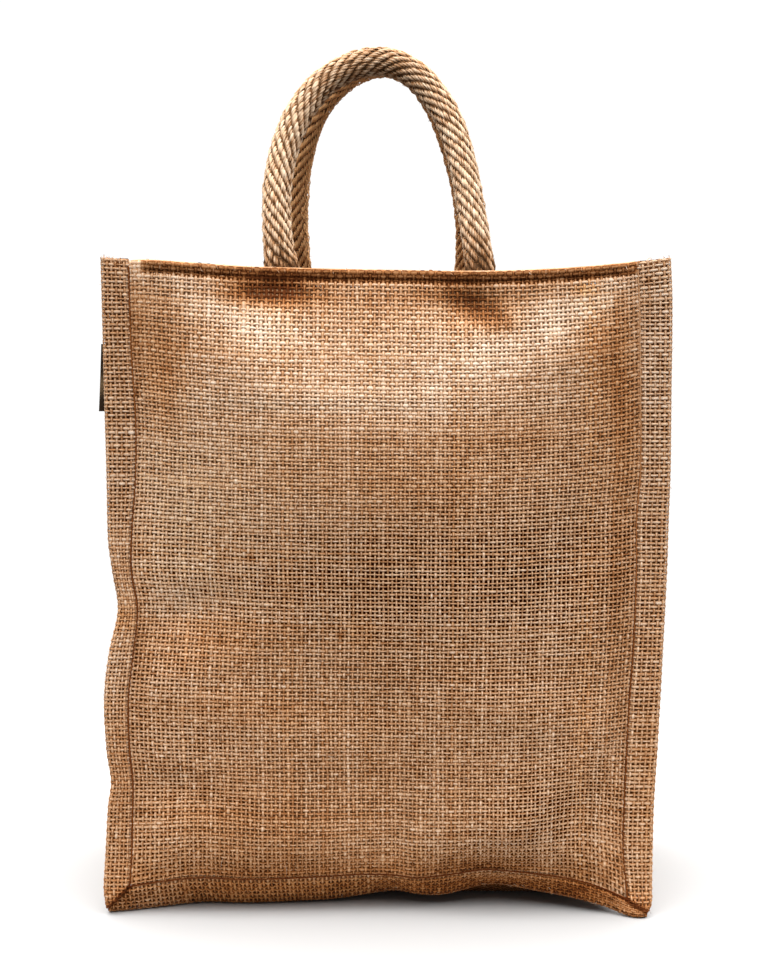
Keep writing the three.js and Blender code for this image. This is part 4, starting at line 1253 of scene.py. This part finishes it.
# %% What lies in and along a binding
ALLOWANCE_SHORT = 2.5
ALLOWANCE_TOP = 0.9
ALLOWANCE_LOW = 15
ALLOWANCE_STEP = 4.0
ALLOWANCE_MIDDLE = 0.485
ALLOWANCE_HALF = 0.478
ALLOWANCE_PAINTED_SHADE = -0.46


def allowance(side, rail, start, end, outward):
    """The seam allowances inside a binding, as one strip painted dark as the shade in the fold."""
    along = np.linspace(start, end, int((end - start) / ALLOWANCE_STEP))[None, :]
    width = rail_width(rail, along)
    nothing = np.zeros_like(along)

    def cloth(reach, place):
        return beside_seam(side, rail, place, reach, 0 * reach)

    return yarn_roofs(cloth, outward, ALLOWANCE_MIDDLE * width, along, nothing,
                      ALLOWANCE_HALF * width, nothing + ALLOWANCE_PAINTED_SHADE, nothing)


STITCH = 3.2
STITCH_TONE = 0.08
STITCH_LIFT = 0.25
# The stitch line is dark thread, and its darkness is also the painted shadow of the fold along the
# seam; it is painted fainter where that shadow is faint
THREAD_OUT = 1.45
THREAD_REACH = -0.30
THREAD_HALF = 0.54
THREAD_AND_SHADOW_TONE = -0.54
THREAD_WARM = 0.9
THREAD_SHORT = 3.5
THREAD_FAINT = table(
    "x z long wide height turn",
    (134, 320, 20, 110, 0.85, 0), (-134, 290, 20, 50, 0.2, 0),
)


def seam_thread(side, rail, length, outward):
    """The line of stitches along a binding's inner edge, dark as thread and as painted fold shadow."""
    along = np.arange(ALLOWANCE_SHORT, length - THREAD_SHORT, STITCH / 2)[None, :]
    nothing = np.zeros_like(along)
    in_stitch = np.tile([0.0, 1.0], along.size)[None, :along.size]
    seam_x, seam_z = rail(along)[:2]
    faint = soft_spots(THREAD_FAINT, seam_x, seam_z)
    tone = mix(THREAD_AND_SHADOW_TONE + STITCH_TONE * in_stitch, 0, faint)

    def cloth(reach, place):
        return beside_seam(side, rail, place, reach, THREAD_OUT + 0 * reach)

    return yarn_roofs(cloth, outward, nothing + THREAD_REACH, along, STITCH_LIFT * in_stitch,
                      nothing + THREAD_HALF, tone, THREAD_WARM * (1 - faint))


FOLD_LIFT = 0.12
FOLD_HALF = 0.8
FOLD_TONE = -0.05
FOLD_TONE_SPREAD = 0.08


def fold_edge(cloth, outward, wefts):
    """The yarn that lies along the fold of a binding."""
    along = wefts[None, :]
    nothing = np.zeros_like(along)
    fat = fatness(1, wefts, FAT_SPREAD)
    tone = FOLD_TONE + strays(1, wefts, FOLD_TONE_SPREAD)
    return yarn_roofs(cloth, outward, nothing + LEAF + BEND / 2, along, nothing + FOLD_LIFT,
                      FOLD_HALF * fat, tone, nothing)


# %% The tones of the bindings
BINDING_SPOTS = table(
    "x z long wide height turn",
    (-144, 166, 12, 8, 0.6, 0), (-148, 20, 14, 10, 0.3, 0), (142, 60, 12, 30, 0.2, 0),
)
# Lighter and darker stretches of the bindings, with painted shade at the corners by the floor
BINDING_TONES = table(
    "x z long wide height turn",
    (-146, 90, 14, 90, -0.14, 0), (-146, 330, 14, 60, -0.06, 0), (142, 330, 14, 90, 0.10, 0),
    (142, 100, 14, 110, -0.06, 0), (-147, 130, 8, 30, 0.12, 0), (136, 340, 5, 16, -0.16, 0),
    (-150, 4, 16, 11, -0.22, 0), (138, 2, 16, 12, -0.28, 0), (-118, 8, 30, 9, -0.14, 0),
)
SIDE_OPEN = 0.08
# Higher up the bindings the rows stand out too, painted paler as light on the raised rows
SIDE_LEAD = 0.06
SIDE_LEAD_HEIGHTS = (150, 260)
# The bottom binding is painted dark, as shade under the belly of the panel, less where tucked under
BOTTOM_PAINTED_SHADE = -0.43
TUCKED_SHADE_EASE = 0.27
BOTTOM_WARM = 0.95
BOTTOM_DARK = 14
BOTTOM_FROM = (-150, -88)
BOTTOM_TO = (104, 142)


def binding_fields(place):
    """The bindings are golden in places; the bottom one is painted dark as shade, less where tucked
    under.
    """
    x = place[..., 0]
    z = place[..., 2]
    low = 1 - eased(z, BOTTOM_DARK, 2 * BOTTOM_DARK)
    inner = eased(x, *BOTTOM_FROM) * (1 - eased(x, *BOTTOM_TO))
    warm = soft_spots(BINDING_SPOTS, x, z) + BOTTOM_WARM * low * inner
    bottom = BOTTOM_PAINTED_SHADE + TUCKED_SHADE_EASE * TUCKED_UNDER(x) * (place[..., 1] < 0)
    tone = mix(soft_spots(BINDING_TONES, x, z), bottom, low * inner)
    lead = SIDE_LEAD * eased(z, *SIDE_LEAD_HEIGHTS)
    return dict(open=SIDE_OPEN * (1 - low * inner), tone=tone, warm=warm, lead=lead)


# %% Weave the bindings
WARP_PAST = 0.9
inner_warps = np.arange(PITCH / 2, GIRTH, PITCH)
binding_warps = np.concatenate([[-WARP_PAST], inner_warps, [GIRTH + WARP_PAST]])
binding_jute = jute_material("jute_binding_yarn", *JUTE_COLOURS, rough=0.9)
BINDING_STRAY = 0.2
BINDING_HAIRS = 110
BINDING_HAIR_MARGIN = 4
BINDING_HAIR_SPREAD = 2.5
FRAYED_ENDS = 26
FRAY_STARTS = (1.5, 4)
FRAY_HALF = 0.2
MITRE_PAINTED_SHADOW = -0.75
MITRE_SHADE = 1.0


def add_binding(name, side, rail, length, outward, spread, ends, keep_past):
    """Weaves one binding, with the allowances inside it, and cuts its mitred ends, painting a shadow
    along each mitre line.
    """
    upright = keep_past > 0
    wefts = np.arange(PITCH / 2, length, PITCH)
    cloth = binding_cloth(side, rail, length, pressed_end=upright)
    sets = weave(cloth, outward, binding_warps, wefts, binding_fields, spread, stray=BINDING_STRAY)
    part = join([sets["weft"], sets["warp"], seam_thread(side, rail, length, outward),
                 fold_edge(cloth, outward, wefts)])
    hairs = rng.uniform(BINDING_HAIR_MARGIN, length - BINDING_HAIR_MARGIN, BINDING_HAIRS)
    around = rng.normal(LEAF + BEND / 2, BINDING_HAIR_SPREAD, BINDING_HAIRS)
    part = join([part, loose_fibres(cloth, outward, around, hairs, reach=3.5, lift=1.3)])
    if upright:
        ends_around = rng.uniform(0, LEAF + BEND, FRAYED_ENDS)
        ends_along = length - rng.uniform(*FRAY_STARTS, FRAYED_ENDS)
        frays = loose_fibres(cloth, outward, ends_around, ends_along, reach=2.4, lift=0.5,
                             tone=0.0, half=FRAY_HALF, upward=True)
        part = join([part, frays])
    for end in ends:
        past = keep_past * past_mitre(side, end, part["points"])
        columns = part["columns"]
        # A painted shadow along the mitre line, where one binding overlaps the other
        columns["tone"] = columns["tone"] + MITRE_PAINTED_SHADOW * bell(past, 0, MITRE_SHADE)
        part = cut(part, past > -MITRE_OVERLAP[keep_past])
    start = ALLOWANCE_LOW if upright else ALLOWANCE_SHORT
    short = ALLOWANCE_TOP if upright else ALLOWANCE_SHORT
    part = join([part, allowance(side, rail, start, length - short, outward)])
    piece = mesh_piece(name + "_weave", material=binding_jute, **part)
    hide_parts(name)
    print(name, len(piece.data.polygons) * 2, "triangles")
    return piece


for side_name, side in (("front", front), ("back", back)):
    spread = RING_SPREAD if side is front else 0
    tip_left, tip_right = side.corners["tip_x"]
    left_length, right_length = (top - FLOOR_CLEAR for top in SIDE_TOPS[side.out])
    add_binding(f"{side_name}_binding_left", side, side_rail(side, 0, side.left, side.left_edge),
                left_length, side.out, spread, [0], 1)
    add_binding(f"{side_name}_binding_right", side, side_rail(side, 1, side.right, side.right_edge),
                right_length, -side.out, spread, [1], 1)
    add_binding(f"{side_name}_binding_bottom", side, bottom_rail(side),
                tip_right - tip_left, -side.out, spread, [0, 1], -1)

# %% [markdown]
# ## The handles
# Each handle is herringbone webbing rolled round a core of cord and sewn shut along its inner
# side. A smooth tube with a bump map would look like plastic, so the webbing has real yarns. In
# a twill each yarn rides over two and dips under one, a step later than its neighbour. The steps
# make ribs, which lean outwards on both faces and meet in a chevron on the outer line.

# %% The line of each handle
FRONT_HANDLE = table(
    "x z half thick",
    (-56.0, 331, 10.2, 2.4), (-56.2, 350, 10.0, 2.8), (-58.6, 366, 8.3, 6.2),
    (-59.8, 388, 8.0, 7.6), (-58.4, 406, 8.0, 7.8), (-53.6, 425, 8.0, 7.8),
    (-46.0, 441, 8.0, 7.8), (-34.0, 455, 8.0, 7.8), (-19.0, 463.6, 8.0, 7.8),
    (-3.0, 466.2, 8.0, 7.8), (11.0, 461.8, 8.0, 7.8), (23.5, 450.5, 8.0, 7.8),
    (33.5, 434, 7.8, 7.6), (40.2, 413, 7.7, 7.6), (44.4, 391, 7.7, 7.4), (48.2, 366, 7.9, 5.8),
    (50.0, 350, 8.4, 2.8), (50.2, 331, 9.4, 2.4),
)
BACK_HANDLE = table(
    "x z half thick",
    (-54.0, 331, 9.6, 2.4), (-54.0, 350, 9.2, 2.8), (-54.2, 368, 8.2, 6.2),
    (-54.0, 388, 8.0, 7.6), (-51.0, 413, 8.0, 7.8), (-43.4, 437, 8.0, 7.8),
    (-32.0, 453, 8.0, 7.8), (-18.0, 463.4, 8.0, 7.8), (-2.0, 467.4, 8.0, 7.8),
    (11.0, 463.8, 8.0, 7.8), (22.5, 454, 8.0, 7.8), (32.5, 437, 7.9, 7.7),
    (40.5, 415, 7.8, 7.6), (46.2, 391, 7.8, 7.4), (48.4, 368, 8.0, 6.0), (48.6, 350, 8.8, 2.8),
    (48.6, 331, 9.4, 2.4),
)
HANDLE_TOP_Y = 9.4
LEAN_HEIGHTS = (352, 466)
SOFT_LEAN_HEIGHTS = (332, 506)
LEAN_SOFTNESS = 0.2
LINE_STEPS = 3000
HEM_EXTRA = 1.8
FOOT_GAP = 0.6
FOOT_THICK = 2.8
FOOT_CORNERS = 2.6


def foot_depth(side, x, z, half):
    """How deep a handle's foot lies, just inside the hem."""
    low = side.bottom(x)
    rise = np.minimum(1, (z - low) / (side.top(x) - low))
    width = side.right(z) - side.left(z)
    inward = []
    for aside in (-half, 0, half):
        share = (x + aside - side.left(z)) / width
        inward.append(-side.out * side.point(share, rise)[..., 1])
    hem_face = np.max(inward, axis=0) + CLOTH / 2 + HEM_EXTRA
    return -side.out * (hem_face + FOOT_GAP + FOOT_THICK)


def handle_line(side, rows, rings):
    """Evenly spaced places along a handle, with its half width and half thickness."""
    numbered = dict(rows, step=np.arange(len(rows["x"]), dtype=float))
    steps = np.linspace(0, len(rows["x"]) - 1, LINE_STEPS)
    lines = {name: curve(numbered, "step", name) for name in ("x", "z", "half", "thick")}

    def centre(step):
        x = lines["x"](step)
        z = lines["z"](step)
        lean = eased(z, *SOFT_LEAN_HEIGHTS)
        straight = np.interp(z, LEAN_HEIGHTS, (0, 1))
        depth = foot_depth(side, x, z, lines["half"](step))
        y = mix(depth, side.out * HANDLE_TOP_Y, mix(straight, lean, LEAN_SOFTNESS))
        return np.stack([x, y, z], axis=-1)

    rough = centre(steps)
    length = np.concatenate([[0], np.cumsum(np.linalg.norm(np.diff(rough, axis=0), axis=1))])
    even = np.linspace(0, length[-1], rings)
    step = np.interp(even, length, steps)
    return centre(step), even, lines["half"](step), lines["thick"](step)


# %% A handle as a cloth
CORD_RADIUS = 7.9
WEBBING_DEPTH = 0.95
CORE_DEPTH = 1.35
# A handle is flat where its thickness is the first share of its width, and round at the second
FLAT_TO_ROUND = (0.2, 0.9)


def handle_cloth(line, depth):
    """A tube of cloth: millimetres around a handle from its inner side, millimetres along it."""
    place, even, half, thick = line
    run = unit(np.gradient(place, axis=0))
    across = unit(np.cross(np.array([0.0, 1.0, 0.0]), run))
    through = np.cross(run, across)

    def along_line(values, along):
        return np.stack([np.interp(along, even, column) for column in values.T], axis=-1)

    def cloth(around, along):
        angle = around / CORD_RADIUS
        wide = np.interp(along, even, half)
        deep = np.interp(along, even, thick)
        power = mix(2 / FOOT_CORNERS, 1, eased(deep / wide, *FLAT_TO_ROUND))
        aside = np.sign(np.cos(angle)) * np.abs(np.cos(angle)) ** power * (wide - depth)
        ahead = np.sign(np.sin(angle)) * np.abs(np.sin(angle)) ** power * (deep - depth)
        spot = along_line(place, along) + along_line(across, along) * aside[..., None]
        return spot + along_line(through, along) * ahead[..., None]

    return cloth


# %% Twill yarns round the cord
TWILL_YARNS = 42
FLOAT_PITCH = 7.0
TWILL_STEP = 1.62
TWILL_HALF = 0.66
TWILL_TONE_SPREAD = 0.15
TWILL_WARM_SPREAD = 0.15
TWILL_WIDE_SPREAD = 0.16
TWILL_LIFT_SPREAD = 0.16
TWILL_ALONG_SPREAD = 0.26
TWILL_AROUND_SPREAD = 0.12
HANDLE_HAIRS = 420
HANDLE_HAIR_MARGIN = 20
SELVAGE_TURN = 0.35
GOLDEN_PAINTED_LIGHT = 0.85
# The back handle's golden colour and brightness are painted warm bounced light, less on the side
# that faces away from the front
GOLDEN_LIGHT_LOSS = 0.8
GOLDEN_LIGHT_FACING = (-0.4, 0.6)
# Painted light and shade by height: dark where the feet go into the hem, paler on the legs, and darker
# again towards the top of the arch
HANDLE_LIGHT_AND_SHADE = table(
    "z tone",
    (351, -0.58), (356, -0.38), (364, -0.04), (378, 0.07), (430, 0.09), (446, 0.05), (464, -0.10),
)
# The shape of one float; its tone paints shade where the float dips into the groove and a highlight on
# its crest
FLOAT = table(
    "place lift wide tone",
    (0.0, -0.90, 0.55, -0.60), (0.16, -0.40, 0.85, -0.40), (0.32, 0.40, 1.02, 0.0),
    (0.56, 0.72, 1.14, 0.16), (0.84, 0.10, 1.0, -0.14),
)


def twill(line, way, golden):
    """The yarns of a handle. way is the way the ribs lean along it, golden how much warm light is
    painted on them.
    """
    length = line[1][-1]
    floats = int(length / FLOAT_PITCH) - 1
    rings = len(FLOAT["place"])
    shape = (TWILL_YARNS, floats)
    angle = TURN * (np.arange(TWILL_YARNS) + 0.5) / TWILL_YARNS
    from_outer = np.abs((angle + SELVAGE_TURN * way) % TURN - pi)
    steps = from_outer * TWILL_YARNS / TURN
    start = (-way * steps * TWILL_STEP) % FLOAT_PITCH
    begin = start[:, None] + np.arange(floats)[None, :] * FLOAT_PITCH
    begin = begin + rng.normal(0, TWILL_ALONG_SPREAD, shape)

    def on_rings(values):
        return np.repeat(values, rings, axis=1)

    def in_float(name):
        return np.tile(FLOAT[name], floats)[None, :]

    along = np.clip(on_rings(begin) + in_float("place") * FLOAT_PITCH, 0, length)
    around = on_rings(angle[:, None] * CORD_RADIUS + rng.normal(0, TWILL_AROUND_SPREAD, shape))
    wide = TWILL_HALF * on_rings(rng.normal(1, TWILL_WIDE_SPREAD, shape)) * in_float("wide")
    lift = in_float("lift") + on_rings(rng.normal(0, TWILL_LIFT_SPREAD, shape))
    tone = in_float("tone") + on_rings(rng.normal(0, TWILL_TONE_SPREAD, shape))
    cloth = handle_cloth(line, WEBBING_DEPTH)
    facing = outward_of(cloth, around, along)[..., 1]
    golden = golden * (1 - GOLDEN_LIGHT_LOSS * eased(facing, *GOLDEN_LIGHT_FACING))
    warm = golden + on_rings(np.abs(rng.normal(0, TWILL_WARM_SPREAD, shape)))
    height = np.interp(along, line[1], line[0][:, 2])
    # Where golden, the painted warm light replaces the painted light and shade by height
    tone = tone + mix(curve(HANDLE_LIGHT_AND_SHADE, "z", "tone")(height), GOLDEN_PAINTED_LIGHT, golden)
    yarns = yarn_roofs(cloth, 1, around, along, lift, wide, tone, warm)
    hairs_around = rng.uniform(0, TURN * CORD_RADIUS, HANDLE_HAIRS)
    hairs_along = rng.uniform(HANDLE_HAIR_MARGIN, length - HANDLE_HAIR_MARGIN, HANDLE_HAIRS)
    hairs = loose_fibres(cloth, 1, hairs_around, hairs_along, reach=4, lift=1.5)
    return join([yarns, hairs])


# %% The cord inside
CORE_RINGS = 150
CORE_SIDES = 24
# The cord is painted dark, as the shade seen deep in the grooves between the ribs
CORE_PAINTED_SHADE = -0.55


def core(line):
    """The padded cord inside a handle, as a closed tube painted dark as shade."""
    angle = TURN * (np.arange(CORE_SIDES) + 0.5)[None, :] / CORE_SIDES
    along = np.linspace(0, line[1][-1], CORE_RINGS)[:, None]
    points = handle_cloth(line, CORE_DEPTH)(*np.broadcast_arrays(angle * CORD_RADIUS, along))
    ring = np.arange(CORE_RINGS - 1)[:, None] * CORE_SIDES
    here = ring + np.arange(CORE_SIDES)[None, :]
    beside = ring + (np.arange(CORE_SIDES)[None, :] + 1) % CORE_SIDES
    faces = np.stack([here, beside, beside + CORE_SIDES, here + CORE_SIDES], axis=-1).reshape(-1, 4)
    caps = []
    for first, turned in ((0, True), ((CORE_RINGS - 1) * CORE_SIDES, False)):
        for low in range(CORE_SIDES // 2 - 1):
            high = CORE_SIDES - 1 - low
            corners = [first + low, first + low + 1, first + high - 1, first + high]
            caps.append(corners[::-1] if turned else corners)
    points = points.reshape(-1, 3)
    count = len(points)
    columns = dict(tone=np.full(count, CORE_PAINTED_SHADE), warm=np.zeros(count), fibre=points)
    return dict(points=points, faces=np.concatenate([faces, np.array(caps)]), columns=columns)


# %% Build the handles
HANDLE_RINGS = 600
WEBBING_DARK = (0.10, 0.050, 0.022)
WEBBING_MIDDLE = (0.52, 0.345, 0.215)
WEBBING_PALE = (0.84, 0.66, 0.48)
WEBBING_WARM = (1.0, 0.70, 0.42)
WEBBING_COLOURS = (WEBBING_DARK, WEBBING_MIDDLE, WEBBING_PALE, WEBBING_WARM)
# Its yarns are coarser, so their strands differ more
COARSE_STRANDS = (0.14, 0.86)
webbing = jute_material("jute_webbing", *WEBBING_COLOURS, rough=0.85, strand_tones=COARSE_STRANDS)


def add_handle(name, side, rows, way, golden):
    """Builds one handle: the webbing, and the cord inside it."""
    line = handle_line(side, rows, HANDLE_RINGS)
    cloth_piece = mesh_piece(name + "_webbing", material=webbing, **twill(line, way, golden))
    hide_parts(name)
    cord_piece = mesh_piece(name + "_cord", material=webbing, **core(line))


add_handle("front_handle", front, FRONT_HANDLE, 1, golden=0)
# The back handle gets painted warm bounced light on the side that faces the front
add_handle("back_handle", back, BACK_HANDLE, -1, golden=1.0)

# %% [markdown]
# ## The side label
# A small dark tape is folded in two and caught in the left front seam. It is blank. Only its
# folded end reaches past the binding, so a thin bent sheet is all it needs.

# %% Fold the label
LABEL_LOW = 277
LABEL_HIGH = 313
LABEL_INNER = -141
LABEL_OUT = 1.5
LABEL_SLANT = 2.2
LABEL_HALF = 0.42
LABEL_DEPTH = 3.55
LABEL_ROWS = 40
LABEL_LEAF = 14
LABEL_BEND = 9
LABEL_CURL = 0.5
LABEL_DARK = 0.2
LABEL_BROWN = 0.5
LABEL_BROWN_AT = 0.6
LABEL_BROWN_WIDE = 0.2
LABEL_FIBRE = 2.0
LABEL_COLOURS = ((0.006, 0.004, 0.003), (0.030, 0.019, 0.011), (0.22, 0.14, 0.07))
WHITE = (1, 1, 1)


def label_sheet():
    """The label as a U-shaped sheet of places."""
    level = np.linspace(0, 1, LABEL_ROWS)[:, None]
    leaf = np.linspace(0, 1, LABEL_LEAF)
    turn = np.linspace(0, pi, LABEL_BEND)[1:-1]
    part = np.concatenate([leaf, np.ones(len(turn)), leaf[::-1]])[None, :]
    bulge = np.concatenate([0 * leaf, np.sin(turn), 0 * leaf])[None, :]
    apart = np.concatenate([1 + 0 * leaf, np.cos(turn), -1 + 0 * leaf])[None, :]
    z = mix(LABEL_HIGH, LABEL_LOW, level) + 0 * part
    edge = front.left_edge(z) - LABEL_OUT - LABEL_SLANT * level
    x = mix(LABEL_INNER, edge, part) - LABEL_HALF * bulge
    curl = LABEL_CURL * np.sin(pi * level) * part
    y = front.plane(x, z) + LABEL_DEPTH + LABEL_HALF * apart + curl
    return np.stack([x, y, z], axis=-1)


label_points = label_sheet()
label_rows, label_columns = label_points.shape[:2]
label_places = label_points.reshape(-1, 3)
label_level = np.repeat(np.linspace(0, 1, label_rows), label_columns)
label_fields = dict(
    tone=LABEL_BROWN * bell(label_level, LABEL_BROWN_AT, LABEL_BROWN_WIDE) - LABEL_DARK,
    warm=np.zeros(len(label_places)), fibre=label_places * LABEL_FIBRE)
label_tape = jute_material("label_tape", *LABEL_COLOURS, WHITE, rough=0.7)
label_faces = strip_faces(1, label_rows, label_columns)
label_piece = mesh_piece("side_label_tape", label_places, label_faces, label_tape, label_fields)
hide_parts("side_label")
print("label:", label_rows * label_columns, "places")

# %% [markdown]
# ## The floor and the light
# The bag stands on a white table in soft light. A big light above and a little in front gives
# the bright upper third, where the cloth leans back, and leaves the lower part darker; the light
# and shade painted on the front add to both.

# %% The table
FLOOR_LEFT, FLOOR_RIGHT = -0.42, 0.42
FLOOR_FRONT, FLOOR_BACK = -0.19, 0.42
TABLE_FINISH = {"Base Color": (0.40, 0.398, 0.396, 1), "Roughness": 0.9}
floor_mesh = bpy.data.meshes.new("floor")
floor_corners = [(FLOOR_LEFT, FLOOR_FRONT, 0), (FLOOR_RIGHT, FLOOR_FRONT, 0),
                 (FLOOR_RIGHT, FLOOR_BACK, 0), (FLOOR_LEFT, FLOOR_BACK, 0)]
floor_mesh.from_pydata(floor_corners, [], [(0, 1, 2, 3)])
floor = bpy.data.objects.new("floor", floor_mesh)
bpy.context.scene.collection.objects.link(floor)
floor_material = bpy.data.materials.new("white_table")
floor_material.use_nodes = True
set_sockets(floor_material.node_tree.nodes["Principled BSDF"], TABLE_FINISH)
floor_mesh.materials.append(floor_material)
print("table:", floor_corners)

# %% The light and the white room
SUN_STRENGTH = 10.35
SUN_WIDTH = radians(95)
SUN_LEAN = radians(4)
ROOM_STRENGTH = 0.25
BACKDROP_STRENGTH = 1.05
sun_data = bpy.data.lights.new("top_light", "SUN")
sun_data.energy = SUN_STRENGTH
sun_data.angle = SUN_WIDTH
sun = bpy.data.objects.new("top_light", sun_data)
sun.rotation_euler = (SUN_LEAN, 0, 0)
bpy.context.scene.collection.objects.link(sun)

# The room lights the bag a little, and the camera sees it as a brighter backdrop
world = bpy.data.worlds.new("white_room")
world.use_nodes = True
world_nodes = world.node_tree.nodes
world_links = world.node_tree.links
room = world_nodes["Background"]
set_sockets(room, {"Color": (*WHITE, 1), "Strength": ROOM_STRENGTH})
backdrop = world_nodes.new("ShaderNodeBackground")
set_sockets(backdrop, {"Color": (*WHITE, 1), "Strength": BACKDROP_STRENGTH})
seen = world_nodes.new("ShaderNodeLightPath")
choose = world_nodes.new("ShaderNodeMixShader")
world_links.new(seen.outputs["Is Camera Ray"], choose.inputs["Fac"])
world_links.new(room.outputs["Background"], choose.inputs[1])
world_links.new(backdrop.outputs["Background"], choose.inputs[2])
world_links.new(choose.outputs["Shader"], world_nodes["World Output"].inputs["Surface"])
bpy.context.scene.world = world
bpy.context.scene.view_settings.view_transform = "Standard"
print("lights:", [item.name for item in bpy.data.lights])
